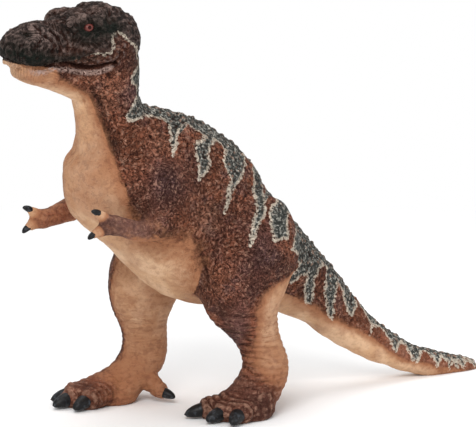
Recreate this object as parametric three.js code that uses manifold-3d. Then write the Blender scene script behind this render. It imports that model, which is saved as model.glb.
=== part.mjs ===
// A moulded toy dinosaur that stands on two feet and the end of its tail. It is put together from separately
// moulded pieces: trunk, head, lower jaw, tail, two arms and two legs. Each of the others seats in the trunk or
// in the head with a square keyed peg, and is bonded there. The trunk is moulded over a core.
// Millimetres. +Z is up, the snout points to -X and the figure's left side faces -Y.
import * as THREE from "three";
import { mergeVertices } from "three/addons/utils/BufferGeometryUtils.js";
import Module from "manifold-3d";

const wasm = await Module();
wasm.setup();

// Stance
const bodyLength = 192; // snout to tail tip
const standHeight = 150; // sole to crown

// Trunk, neck and tail
const trunkWidth = 46;
const trunkDepth = 58;
const coreLength = 30;
const coreWidth = 22;
const coreDepth = 26;
const corePrintDiameter = 6;
const corePrintReach = 14; // from the middle plane, into the leg pockets
const coreNeckDiameter = 8; // joins the core to its prints
const coreShares = [-0.075, 0.49]; // along and up, of the body's length and the standing height

// Head
const headLength = 56;
const headWidth = 24;
const headDepth = 24;
const browLength = 10;
const eyeDiameter = 4.4;

// Legs
const hipHeight = 58;
const hipSpread = 20; // from the middle plane to the middle of each leg
const thighWidth = 27;
const thighDepth = 38;
const legPocketFloor = 11; // from the middle plane, at the hip
const legPocketTilt = 7; // degrees that the floor leans in towards the feet
const legPegShare = 0.86; // up the leg, of the hip's height
const corePrintShares = [-0.06, 1.08]; // along and up from the hip, of the hip's height

// Feet
const toeWidth = 10;
const toeHeight = 8;
const toeClawLength = 8;
const spurLength = 14; // the toe behind the foot

// Arms
const armLength = 62; // shoulder to finger tip, along the arm
const armSpread = 21; // from the middle plane to the elbow
const armWidth = 11;
const armPocketFloor = 12; // from the middle plane
const fingerWidth = 4.8;
const fingerClawLength = 4.2;

// Pegs, gaps and mesh fineness
const gap = 0.3; // between pieces that are bonded
const legPegSide = 8;
const legPegLength = 5;
const armPegSide = 4;
const armPegLength = 5;
const jawPegSide = 5;
const jawPegLength = 5;
const neckPegSide = 10;
const neckPegLength = 9;
const tailPegSide = 10;
const tailPegLength = 9;
const cutOverrun = 400; // how far a cutting block reaches past the figure
const mergeDistance = 1e-4;

const skinColour = 0x7a4f3f;
const paleColour = 0xc79c70;
const darkColour = 0x4a4440;
const coreColour = 0x8c8c88;

/** Places between the rows of a table, on a smooth curve through them: a point, a tangent and a girth. */
function stations(rows, steps) {
  const path = new THREE.CatmullRomCurve3(rows.map((row) => new THREE.Vector3(...row.at)), false, "catmullrom");
  const girths = rows.map((row) => new THREE.Vector3(...row.girth));
  const girth = new THREE.CatmullRomCurve3(girths, false, "catmullrom");
  const places = [];
  const count = (rows.length - 1) * steps;
  for (let i = 0; i <= count; i++) {
    const [width, depth, sag] = girth.getPoint(i / count).toArray();
    places.push({ centre: path.getPoint(i / count), tangent: path.getTangent(i / count), width, depth, sag });
  }
  return places;
}

/** The places that close an end of a skin with a rounded tip, going outwards from the end place. */
function roundedTip(end, outwards, roundness) {
  const tip = [];
  const reach = (Math.min(end.width, end.depth) / 2) * roundness;
  for (const turn of [Math.PI / 6, Math.PI / 3]) {
    tip.push({
      ...end,
      centre: end.centre.clone().addScaledVector(end.tangent, outwards * reach * Math.sin(turn)),
      width: end.width * Math.cos(turn),
      depth: end.depth * Math.cos(turn),
    });
  }
  return { rings: tip, pole: end.centre.clone().addScaledVector(end.tangent, outwards * reach) };
}

/**
 * A closed skin of egg-shaped rings round a smooth curve through rows of { at, girth }.
 * girth is the ring's width, its depth and how far its widest level sags below the middle, as a share.
 * The rings are square to the curve, or all level.
 */
function skin(rows, { sides = 16, steps = 2, startTip = 0, endTip = 0, grow = 0, level = false } = {}) {
  const places = stations(rows, steps);
  if (level) for (const place of places) place.tangent.set(0, 0, -1);
  const start = roundedTip(places[0], -1, startTip);
  const end = roundedTip(places[places.length - 1], 1, endTip);
  if (startTip) places.unshift(...start.rings.reverse());
  if (endTip) places.push(...end.rings);

  const points = [];
  for (const { centre, tangent, width, depth, sag } of places) {
    const across = new THREE.Vector3(0, 1, 0).addScaledVector(tangent, -tangent.y).normalize();
    const back = new THREE.Vector3().crossVectors(tangent, across);
    for (let k = 0; k < sides; k++) {
      const turn = (2 * Math.PI * k) / sides;
      const reachAcross = (width / 2 + grow) * Math.sin(turn) * (1 - sag * Math.cos(turn));
      const reachBack = (depth / 2 + grow) * Math.cos(turn);
      points.push(centre.clone().addScaledVector(across, reachAcross).addScaledVector(back, reachBack));
    }
  }
  const first = points.push(start.pole.addScaledVector(places[0].tangent, -grow)) - 1;
  const last = points.push(end.pole.addScaledVector(places[places.length - 1].tangent, grow)) - 1;

  const faces = [];
  for (let k = 0; k < sides; k++) {
    const next = (k + 1) % sides;
    for (let ring = 0; ring + 1 < places.length; ring++) {
      const [a, b] = [ring * sides + k, ring * sides + next];
      const [c, d] = [a + sides, b + sides];
      faces.push(a, c, b, b, c, d);
    }
    const lastRing = (places.length - 1) * sides;
    faces.push(first, k, next, last, lastRing + next, lastRing + k);
  }
  const geometry = new THREE.BufferGeometry().setFromPoints(points);
  geometry.setIndex(faces);
  return solid(geometry);
}

/** A closed geometry as a solid that can be joined and cut. */
function solid(geometry) {
  const bare = geometry.clone();
  bare.deleteAttribute("normal");
  bare.deleteAttribute("uv");
  const merged = mergeVertices(bare, mergeDistance);
  const vertProperties = merged.attributes.position.array;
  const triVerts = new Uint32Array(merged.index.array);
  return new wasm.Manifold(new wasm.Mesh({ numProp: 3, vertProperties, triVerts }));
}

/** An egg-shaped lump of the three sizes, centred on a point. */
function lump(length, width, height, [x, y, z]) {
  const ball = new THREE.SphereGeometry(1 / 2, 12, 7);
  return solid(ball.scale(length, width, height).translate(x, y, z));
}

/** A square peg from a point outwards along a direction, sunk in its own piece by as much as it says. */
function peg(from, along, side, length, sunk) {
  const block = new THREE.BoxGeometry(side, side, length + sunk);
  block.translate(0, 0, (length - sunk) / 2);
  block.applyQuaternion(new THREE.Quaternion().setFromUnitVectors(new THREE.Vector3(0, 0, 1), along));
  return solid(block.translate(from.x, from.y, from.z));
}

/** Everything on the far side of a plane through a point, out to the overrun. */
function beyond(point, along) {
  const block = new THREE.BoxGeometry(cutOverrun, cutOverrun, cutOverrun).translate(0, 0, cutOverrun / 2);
  block.applyQuaternion(new THREE.Quaternion().setFromUnitVectors(new THREE.Vector3(0, 0, 1), along));
  return solid(block.translate(point.x, point.y, point.z));
}

// Spine from the skull to the tail tip: along, up, then width, depth and sag. Along and up are shares of the
// body's length and the standing height, and width and depth are shares of the trunk's.
const spineShares = [
  [-0.224, 0.9, 0.4, 0.36, 0.0],
  [-0.221, 0.85, 0.435, 0.41, 0.0],
  [-0.224, 0.787, 0.457, 0.43, 0.0],
  [-0.218, 0.73, 0.467, 0.41, 0.0],
  [-0.198, 0.668, 0.57, 0.56, 0.08],
  [-0.18, 0.604, 0.8, 0.925, 0.12],
  [-0.129, 0.553, 0.93, 0.94, 0.13],
  [-0.07, 0.49, 1.0, 1.0, 0.13],
  [-0.01, 0.42, 0.98, 0.97, 0.1],
  [0.045, 0.375, 0.88, 0.8, 0.08],
  [0.105, 0.335, 0.72, 0.64, 0.05],
  [0.165, 0.283, 0.56, 0.49, 0.0],
  [0.215, 0.24, 0.44, 0.4, 0.0],
  [0.263, 0.178, 0.355, 0.315, 0.0],
  [0.33, 0.109, 0.28, 0.25, 0.0],
  [0.414, 0.051, 0.21, 0.19, 0.0],
  [0.487, 0.024, 0.165, 0.15, 0.0],
  [0.56, 0.009, 0.105, 0.085, 0.0],
];
const neckCutRow = 3; // the head meets the trunk at this row of the spine
const tailCutRow = 11; // and the tail at this one

const spineRows = spineShares.map(([along, up, wide, deep, sag]) => ({
  at: [along * bodyLength, 0, up * standHeight],
  girth: [wide * trunkWidth, deep * trunkDepth, sag],
}));

/** The plane that cuts the spine square at a row. */
function spinePlane(row) {
  const points = spineRows.map(({ at }) => new THREE.Vector3(...at));
  const path = new THREE.CatmullRomCurve3(points, false, "catmullrom");
  const share = row / (spineRows.length - 1);
  return { point: path.getPoint(share), along: path.getTangent(share) };
}

// Skull from the snout back: along and up from the snout's tip, then width, depth and sag, as shares of the
// head's sizes.
const skullShares = [
  [0.035, -0.04, 0.52, 0.42, 0.1],
  [0.09, -0.01, 0.62, 0.55, 0.1],
  [0.18, 0.01, 0.66, 0.61, 0.1],
  [0.305, 0.035, 0.69, 0.66, 0.15],
  [0.43, 0.055, 0.8, 0.78, 0.15],
  [0.555, 0.062, 0.96, 0.92, 0.12],
  [0.68, 0.05, 1.04, 0.98, 0.08],
  [0.765, 0.0, 1.0, 0.88, 0.05],
  [0.82, -0.08, 0.88, 0.76, 0.0],
  [0.86, -0.13, 0.72, 0.62, 0.0],
];
const snoutShares = [-0.432, 0.9]; // along and up, of the body's length and the standing height
const mouthShare = 0.27; // below the snout's middle, of the head's depth
const snoutAlong = snoutShares[0] * bodyLength;
const snoutUp = snoutShares[1] * standHeight;
const mouthUp = snoutUp - mouthShare * headDepth;

const skullRows = skullShares.map(([along, up, wide, deep, sag]) => ({
  at: [snoutAlong + along * headLength, 0, snoutUp + up * headDepth],
  girth: [wide * headWidth, deep * headDepth, sag],
}));

// Lower jaw from the chin back into the throat, in the same shares.
const jawShares = [
  [0.1, -0.34, 0.38, 0.2, 0.0],
  [0.17, -0.37, 0.5, 0.3, 0.0],
  [0.3, -0.42, 0.6, 0.4, -0.1],
  [0.46, -0.5, 0.7, 0.56, -0.15],
  [0.6, -0.58, 0.8, 0.72, -0.15],
  [0.7, -0.66, 0.76, 0.72, -0.1],
];
const jawRows = jawShares.map(([along, up, wide, deep, sag]) => ({
  at: [snoutAlong + along * headLength, 0, snoutUp + up * headDepth],
  girth: [wide * headWidth, deep * headDepth, sag],
}));

// Lumps on the skull: along, out to each side and up from the snout's tip as shares of the head, then length,
// width and height as shares of a brow's length.
const skullLumpShares = {
  brow: [0.5, 0.31, 0.36, 1.7, 0.6, 0.6],
  crown: [0.66, 0.14, 0.44, 1.3, 0.9, 0.6],
  nape: [0.74, 0.15, 0.22, 0.9, 1.0, 0.8],
  nostril: [0.14, 0.2, 0.12, 0.8, 0.5, 0.5],
};
const eyeShares = [0.5, 0.4, 0.23]; // along, out and up, in the same shares
const eyeFlatShare = 0.5; // how far an eye bulges out, of its diameter
const jawPegAlongShare = 0.5; // from the snout's tip, of the head's length

// Legs from the hip down to the sole: up as a share of the hip's height, width and depth as shares of the
// thigh's.
const legGirthShares = [
  [1.22, 0.66, 0.62],
  [1.0, 0.96, 0.97],
  [0.8, 0.96, 0.88],
  [0.64, 0.75, 0.7],
  [0.54, 0.64, 0.58],
  [0.46, 0.56, 0.455],
  [0.33, 0.54, 0.44],
  [0.245, 0.56, 0.475],
  [0.175, 0.63, 0.52],
  [0.09, 0.7, 0.5],
  [-0.02, 0.7, 0.45],
];
// Each leg's middle at those heights: along as a share of the hip's height, out as a share of the hips' spread.
const leftLegShares = [
  [0.14, 0.97],
  [0.09, 1.0],
  [0.026, 1.0],
  [0.009, 1.03],
  [0.048, 1.06],
  [0.1, 1.1],
  [0.152, 1.15],
  [0.131, 1.18],
  [0.083, 1.2],
  [0.02, 1.25],
  [-0.01, 1.27],
];
const rightLegShares = [
  [-0.01, 0.97],
  [-0.1, 1.0],
  [-0.22, 1.0],
  [-0.279, 1.0],
  [-0.288, 1.0],
  [-0.288, 1.0],
  [-0.272, 1.0],
  [-0.3, 1.0],
  [-0.36, 1.0],
  [-0.465, 1.0],
  [-0.53, 1.0],
];
const toeRootRow = 9;
const spurRootRow = 8;

// Toes of each foot, outermost first: degrees turned out from straight ahead, and length to the claw's tip as a
// share of the hip's height.
const leftToeShares = [
  [41, 0.357],
  [12, 0.372],
  [-18, 0.422],
];
const rightToeShares = [
  [14, 0.44],
  [-5, 0.495],
  [-24, 0.46],
];
const leftSpurTurn = 47; // degrees turned in from straight back
const rightSpurTurn = 64;

// A claw from its root to its tip: ahead and up as shares of its length, girth as a share of its width.
const clawShares = [
  [-0.35, 0.02, 0.9],
  [0.2, 0.01, 0.95],
  [0.65, -0.1, 0.68],
  [0.95, -0.24, 0.36],
];
const toeClawGirthShare = 0.62; // of the toe's width
const toeClawReachShare = 1.08; // how far a claw's tip lies ahead of the toe's flesh, of the claw's length
const spurClawShares = [0.7, 0.45]; // length and girth, of a toe claw's length and a toe's width
const fingerClawGirthShare = 0.6; // of the finger's width

/** A claw from a point, heading the way it says and curving down to a blunt tip. */
function claw(root, heading, length, width) {
  const rows = clawShares.map(([ahead, up, size]) => ({
    at: root.clone().addScaledVector(heading, ahead * length).add(new THREE.Vector3(0, 0, up * length)),
    girth: [size * width, size * width, 0],
  }));
  return skin(rows, { sides: 8, steps: 1, endTip: 1 });
}

// A toe's flesh: ahead as a share of its length, up and depth of a toe's height, width of a toe's width.
const toeFleshShares = [
  [0.0, 0.8, 1.1, 1.75],
  [0.35, 0.62, 1.15, 1.4],
  [0.7, 0.49, 1.1, 1.12],
  [1.0, 0.42, 0.98, 0.98],
];
// The spur's flesh: ahead as a share of its length, up of a toe's height, girth of a toe's width and height.
const spurFleshShares = [
  [0.0, 1.3, 1.0],
  [0.45, 0.95, 0.9],
  [0.9, 0.47, 0.72],
];

/** One toe from the foot's root to its claw. */
function toe(root, turn, length, outwards) {
  const heading = new THREE.Vector3(-Math.cos(turn), outwards * Math.sin(turn), 0);
  const fleshLength = length - toeClawLength * toeClawReachShare;
  const rows = toeFleshShares.map(([ahead, up, wide, deep]) => ({
    at: root.clone().addScaledVector(heading, ahead * fleshLength).setZ(up * toeHeight).toArray(),
    girth: [wide * toeWidth, deep * toeHeight, 0],
  }));
  const end = new THREE.Vector3(...rows[rows.length - 1].at);
  const flesh = skin(rows, { sides: 12, steps: 1, startTip: 0.5, endTip: 0.5 });
  return flesh.add(claw(end, heading, toeClawLength, toeWidth * toeClawGirthShare));
}

/** The short toe behind the foot, which turns inwards to the middle of the figure. */
function spur(root, turn, outwards) {
  const heading = new THREE.Vector3(Math.cos(turn), -outwards * Math.sin(turn), 0);
  const rows = spurFleshShares.map(([ahead, up, size]) => ({
    at: root.clone().addScaledVector(heading, ahead * spurLength).setZ(up * toeHeight).toArray(),
    girth: [size * toeWidth, size * toeHeight, 0],
  }));
  const end = new THREE.Vector3(...rows[rows.length - 1].at);
  const flesh = skin(rows, { sides: 10, steps: 1, startTip: 1, endTip: 0.6 });
  return flesh.add(claw(end, heading, toeClawLength * spurClawShares[0], toeWidth * spurClawShares[1]));
}

/** A whole leg with its foot, before it is cut to its pocket. */
function legForm(pathShares, toeShares, spurTurn, outwards, grow) {
  const rows = pathShares.map(([along, out], i) => ({
    at: [along * hipHeight, outwards * out * hipSpread, legGirthShares[i][0] * hipHeight],
    girth: [legGirthShares[i][1] * thighWidth, legGirthShares[i][2] * thighDepth, 0],
  }));
  const form = skin(rows, { sides: 18, startTip: 0.8, grow, level: true });
  if (grow) return form; // only the thigh meets the trunk
  const rootOfToes = new THREE.Vector3(...rows[toeRootRow].at);
  const ahead = toeShares.map(([degrees, length]) =>
    toe(rootOfToes, THREE.MathUtils.degToRad(degrees), length * hipHeight, outwards),
  );
  const behind = spur(new THREE.Vector3(...rows[spurRootRow].at), THREE.MathUtils.degToRad(spurTurn), outwards);
  return [...ahead, behind].reduce((joined, part) => joined.add(part), form);
}

// Arm paths from the shoulder: along and up as shares of the arm's length from the shoulder, out as a share of
// the arm's spread, then girth as a share of the arm's width.
const shoulderShares = [-0.145, 0.585]; // along and up, of the body's length and the standing height
const leftArmShares = [
  [0.02, 0.86, 0.03, 1.05],
  [0.0, 0.95, -0.07, 1.25],
  [-0.04, 1.08, -0.26, 1.0],
  [-0.2, 1.1, -0.28, 0.78],
  [-0.33, 1.05, -0.24, 0.6],
  [-0.385, 1.04, -0.225, 0.66],
];
const rightArmShares = [
  [0.02, 0.86, 0.03, 1.05],
  [-0.02, 0.95, -0.07, 1.25],
  [-0.13, 1.08, -0.235, 1.0],
  [-0.28, 1.1, -0.28, 0.77],
  [-0.4, 1.05, -0.305, 0.62],
  [-0.46, 1.03, -0.31, 0.68],
];
// Fingers of a hand: degrees up from straight ahead, and length without the claw as a share of the arm's
// length.
const leftFingerShares = [
  [38, 0.11],
  [-16, 0.115],
];
const rightFingerShares = [
  [38, 0.085],
  [-22, 0.08],
];

// A finger's flesh: ahead as a share of its length, girth of a finger's width.
const fingerFleshShares = [
  [0.0, 1.1],
  [0.5, 1.0],
  [1.0, 0.8],
];

/** One finger with its claw. */
function finger(root, rise, length) {
  const heading = new THREE.Vector3(-Math.cos(rise), 0, Math.sin(rise));
  const rows = fingerFleshShares.map(([ahead, size]) => ({
    at: root.clone().addScaledVector(heading, ahead * length).toArray(),
    girth: [size * fingerWidth, size * fingerWidth, 0],
  }));
  const end = new THREE.Vector3(...rows[rows.length - 1].at);
  const flesh = skin(rows, { sides: 8, steps: 1, startTip: 1, endTip: 0.8 });
  return flesh.add(claw(end, heading, fingerClawLength, fingerWidth * fingerClawGirthShare));
}

/** A whole arm with its hand, before it is cut to its pocket. */
function armForm(shares, fingers, outwards, grow) {
  const shoulder = [shoulderShares[0] * bodyLength, shoulderShares[1] * standHeight];
  const rows = shares.map(([along, out, up, size]) => ({
    at: [shoulder[0] + along * armLength, outwards * out * armSpread, shoulder[1] + up * armLength],
    girth: [size * armWidth, size * armWidth, 0],
  }));
  let form = skin(rows, { sides: 12, startTip: 1, endTip: 1, grow });
  if (grow) return form; // only the upper arm meets the trunk
  const palm = new THREE.Vector3(...rows[rows.length - 1].at);
  for (const [degrees, length] of fingers) {
    form = form.add(finger(palm, THREE.MathUtils.degToRad(degrees), length * armLength));
  }
  return form;
}

/** The trunk with its neck and its tail. */
function bodyForm() {
  return skin(spineRows, { sides: 24, endTip: 1 });
}

/** The skull with its lumps and eyes. */
function skullForm() {
  let form = skin(skullRows, { sides: 18, startTip: 0.45, endTip: 0.35 });
  for (const [along, out, up, length, width, height] of Object.values(skullLumpShares)) {
    for (const side of [-1, 1]) {
      const at = [snoutAlong + along * headLength, side * out * headWidth, snoutUp + up * headDepth];
      form = form.add(lump(length * browLength, width * browLength, height * browLength, at));
    }
  }
  const [along, out, up] = eyeShares;
  for (const side of [-1, 1]) {
    const at = [snoutAlong + along * headLength, side * out * headWidth, snoutUp + up * headDepth];
    form = form.add(lump(eyeDiameter, eyeDiameter * eyeFlatShare, eyeDiameter, at));
  }
  return form;
}

const up = new THREE.Vector3(0, 0, 1);
const belowGround = beyond(new THREE.Vector3(), up.clone().negate());

const neck = spinePlane(neckCutRow);
const tailRoot = spinePlane(tailCutRow);
const forward = neck.along.clone().negate();

const whole = bodyForm();
const trunkAndTail = whole.subtract(beyond(neck.point, forward));
const neckAndAbove = whole.intersect(beyond(neck.point.clone().addScaledVector(forward, gap), forward));

// Head and jaw
const mouth = new THREE.Vector3(0, 0, mouthUp);
const jawPegFoot = new THREE.Vector3(snoutAlong + jawPegAlongShare * headLength, 0, mouthUp - gap);
const jaw = skin(jawRows, { sides: 16, startTip: 1, endTip: 0.5 })
  .subtract(beyond(mouth.clone().setZ(mouthUp - gap), up))
  .add(peg(jawPegFoot, up, jawPegSide, jawPegLength, jawPegSide / 2));
const jawPocket = skin(jawRows, { sides: 16, startTip: 1, endTip: 0.5, grow: gap })
  .subtract(beyond(mouth, up))
  .add(peg(jawPegFoot, up, jawPegSide + 2 * gap, jawPegLength + gap, jawPegSide / 2));
const neckPeg = peg(neck.point, neck.along, neckPegSide, neckPegLength, neckPegSide / 2);
const head = skullForm().add(neckAndAbove).add(neckPeg).subtract(jawPocket);

// Limbs
const sideways = new THREE.Vector3(0, 1, 0);
const backwards = new THREE.Vector3(1, 0, 0);
const limbs = { left: -1, right: 1 };
const pieces = {};
const legFloors = [];
let trunk = trunkAndTail.subtract(beyond(tailRoot.point, tailRoot.along));
for (const [side, outwards] of Object.entries(limbs)) {
  const out = sideways.clone().multiplyScalar(outwards);
  const inwards = out.clone().negate();
  const isLeft = side === "left";

  const legShares = isLeft ? leftLegShares : rightLegShares;
  const toeShares = isLeft ? leftToeShares : rightToeShares;
  const spurTurn = isLeft ? leftSpurTurn : rightSpurTurn;
  const legFloor = new THREE.Vector3(
    legShares[1][0] * hipHeight,
    outwards * legPocketFloor,
    legPegShare * hipHeight,
  );
  const legOut = out.clone().applyAxisAngle(backwards, THREE.MathUtils.degToRad(-outwards * legPocketTilt));
  const legIn = legOut.clone().negate();
  legFloors.push({ point: legFloor.clone().addScaledVector(legIn, 2 * gap), out: legOut });
  pieces[side + "_leg"] = legForm(legShares, toeShares, spurTurn, outwards)
    .intersect(beyond(legFloor, legOut))
    .add(peg(legFloor, legIn, legPegSide, legPegLength, legPegSide / 2))
    .subtract(belowGround);
  const legPocket = legForm(legShares, toeShares, spurTurn, outwards, gap)
    .intersect(beyond(legFloor.clone().addScaledVector(legIn, gap), legOut))
    .add(peg(legFloor, legIn, legPegSide + 2 * gap, legPegLength + gap, legPegSide / 2));

  const armShares = isLeft ? leftArmShares : rightArmShares;
  const fingers = isLeft ? leftFingerShares : rightFingerShares;
  const armFloor = new THREE.Vector3(
    shoulderShares[0] * bodyLength,
    outwards * armPocketFloor,
    shoulderShares[1] * standHeight + armShares[1][2] * armLength,
  );
  pieces[side + "_arm"] = armForm(armShares, fingers, outwards)
    .intersect(beyond(armFloor, out))
    .add(peg(armFloor, inwards, armPegSide, armPegLength, armPegSide / 2));
  const armPocket = armForm(armShares, fingers, outwards, gap)
    .intersect(beyond(armFloor.clone().addScaledVector(inwards, gap), out))
    .add(peg(armFloor, inwards, armPegSide + 2 * gap, armPegLength + gap, armPegSide / 2));
  trunk = trunk.subtract(legPocket).subtract(armPocket);
}

// Tail
const tailPeg = peg(tailRoot.point, tailRoot.along.clone().negate(), tailPegSide, tailPegLength, tailPegSide / 2);
const tail = whole
  .intersect(beyond(tailRoot.point.clone().addScaledVector(tailRoot.along, gap), tailRoot.along))
  .add(tailPeg)
  .subtract(belowGround);
trunk = trunk
  .subtract(peg(tailRoot.point, tailRoot.along.clone().negate(), tailPegSide + 2 * gap, tailPegLength + gap, gap))
  .subtract(peg(neck.point, neck.along, neckPegSide + 2 * gap, neckPegLength + gap, gap));

// The core, held in the mould by two round prints that end at the floors of the leg pockets
const coreAt = [coreShares[0] * bodyLength, 0, coreShares[1] * standHeight];
const printAt = [corePrintShares[0] * hipHeight, 0, corePrintShares[1] * hipHeight];
function coreForm(grow) {
  const radius = corePrintDiameter / 2 + grow;
  const print = new THREE.CylinderGeometry(radius, radius, 2 * corePrintReach, 24).translate(...printAt);
  const neckGirth = [coreNeckDiameter, coreNeckDiameter, 0];
  const ends = [coreAt, printAt].map((at) => ({ at, girth: neckGirth }));
  const neck = skin(ends, { sides: 12, steps: 1, startTip: 1, endTip: 1, grow });
  const body = lump(coreLength + 2 * grow, coreWidth + 2 * grow, coreDepth + 2 * grow, coreAt);
  return body.add(neck).add(solid(print));
}
let core = coreForm(0);
for (const { point, out } of legFloors) core = core.subtract(beyond(point, out));
trunk = trunk.subtract(coreForm(gap));

/** A named mesh of one solid. */
function mesh(name, made, color) {
  const { vertProperties, triVerts } = made.getMesh();
  const geometry = new THREE.BufferGeometry();
  geometry.setAttribute("position", new THREE.BufferAttribute(vertProperties, 3));
  geometry.setIndex(new THREE.BufferAttribute(triVerts, 1));
  const flat = geometry.toNonIndexed();
  flat.computeVertexNormals();
  const piece = new THREE.Mesh(flat, new THREE.MeshStandardMaterial({ color, roughness: 0.6, metalness: 0 }));
  piece.name = name;
  return piece;
}

const figure = new THREE.Group();
figure.name = "toy_dinosaur";
figure.add(
  mesh("torso", trunk, skinColour),
  mesh("torso_core", core, coreColour),
  mesh("head", head, darkColour),
  mesh("lower_jaw", jaw, paleColour),
  mesh("tail", tail, skinColour),
  mesh("left_arm", pieces.left_arm, skinColour),
  mesh("right_arm", pieces.right_arm, skinColour),
  mesh("left_leg", pieces.left_leg, skinColour),
  mesh("right_leg", pieces.right_leg, skinColour),
);

// The origin is the middle of the footprint, on the surface that the figure stands on.
const bounds = new THREE.Box3().setFromObject(figure);
const middle = bounds.getCenter(new THREE.Vector3());
figure.position.set(-middle.x, -middle.y, -bounds.min.z);

export default figure;
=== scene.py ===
"""Dresses the moulded toy dinosaur: its carved hide, claws and eyes, and the paint on them.

Lengths are millimetres in the figure's own frame: X is 0 at the hips and falls towards the snout,
Y is below 0 on the figure's left side, and Z is up from the ground.
"""

import logging
import math
from dataclasses import dataclass
from enum import Enum

import bmesh
import bpy
import numpy as np
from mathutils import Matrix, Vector, noise
from mathutils.bvhtree import BVHTree
from mathutils.kdtree import KDTree

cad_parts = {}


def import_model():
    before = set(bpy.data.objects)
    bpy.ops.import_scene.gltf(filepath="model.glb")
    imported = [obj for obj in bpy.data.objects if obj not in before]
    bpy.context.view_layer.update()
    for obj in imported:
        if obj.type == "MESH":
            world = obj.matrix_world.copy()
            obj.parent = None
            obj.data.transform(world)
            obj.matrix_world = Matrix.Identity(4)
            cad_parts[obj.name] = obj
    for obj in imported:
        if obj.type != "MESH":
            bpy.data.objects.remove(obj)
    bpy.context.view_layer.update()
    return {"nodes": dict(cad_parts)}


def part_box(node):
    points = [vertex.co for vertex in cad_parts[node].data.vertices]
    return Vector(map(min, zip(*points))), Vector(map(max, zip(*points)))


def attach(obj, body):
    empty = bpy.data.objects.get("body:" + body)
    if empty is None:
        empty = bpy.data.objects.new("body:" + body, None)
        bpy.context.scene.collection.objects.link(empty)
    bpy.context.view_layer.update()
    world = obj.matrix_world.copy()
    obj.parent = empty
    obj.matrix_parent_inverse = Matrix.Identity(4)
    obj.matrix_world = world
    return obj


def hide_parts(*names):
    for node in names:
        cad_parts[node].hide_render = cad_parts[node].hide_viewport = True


MM = 0.001
LOG = logging.getLogger("toy_dinosaur")
Pair = tuple[float, float]
Point = tuple[float, float, float]
Colour = tuple[int, int, int]


class Side(Enum):
    """The two sides of the figure, with the sign of Y there."""

    LEFT = -1
    RIGHT = 1


@dataclass(frozen=True)
class Stand:
    """Where the figure's own frame sits in the row frame."""

    core_along: float = -14.4  # the middle of the trunk's core, from the hips

    def origin(self) -> np.ndarray:
        """The figure frame's origin in the row frame, in millimetres."""
        low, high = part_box("torso_core")
        middle = (low + high) / 2 / MM
        return np.array([middle.x - self.core_along, middle.y, 0.0])


def merged_copy(node: bpy.types.Object) -> bmesh.types.BMesh:
    """A closed copy of a CAD node's mesh, in metres, which the caller frees."""
    bm = bmesh.new()
    bm.from_mesh(node.data)
    bmesh.ops.remove_doubles(bm, verts=bm.verts, dist=1e-3 * MM)
    bm.normal_update()
    return bm


def to_mesh(bm: bmesh.types.BMesh, name: str) -> bpy.types.Mesh:
    """A bmesh as a named mesh, after which the bmesh is gone."""
    mesh = bpy.data.meshes.new(name)
    bm.to_mesh(mesh)
    bm.free()
    return mesh


def link(name: str, mesh: bpy.types.Mesh) -> bpy.types.Object:
    """Puts a mesh in the scene as an object at the origin."""
    piece = bpy.data.objects.new(name, mesh)
    bpy.context.scene.collection.objects.link(piece)
    return piece


def shade_smooth(mesh: bpy.types.Mesh) -> None:
    """Lets light run smoothly over a mesh's edges."""
    mesh.polygons.foreach_set("use_smooth", np.ones(len(mesh.polygons), bool))


def keep_numbers(mesh: bpy.types.Mesh, name: str, values: np.ndarray) -> None:
    """Stores one number a point as a named attribute."""
    mesh.attributes.new(name, "FLOAT", "POINT").data.foreach_set("value", values.astype(np.float32))


def modified(mesh: bpy.types.Mesh, kind: str, **settings: object) -> bpy.types.Mesh:
    """The new mesh that another becomes through one modifier.

    Args:
        mesh: The mesh to work on.
        kind: The modifier's type.
        settings: The modifier's settings.

    Returns:
        A new mesh.
    """
    piece = link("working_copy", mesh)
    modifier = piece.modifiers.new(kind.lower(), kind)
    for key, value in settings.items():
        setattr(modifier, key, value)
    graph = bpy.context.evaluated_depsgraph_get()
    made = bpy.data.meshes.new_from_object(piece.evaluated_get(graph))
    bpy.data.objects.remove(piece)
    return made


def neighbour_sums(values: np.ndarray, a: np.ndarray, b: np.ndarray) -> np.ndarray:
    """The sum of each column over every point's neighbours, for edges that run from a to b."""
    count = len(values)
    return np.stack([np.bincount(a, c[b], count) + np.bincount(b, c[a], count) for c in values.T], axis=1)


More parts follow.
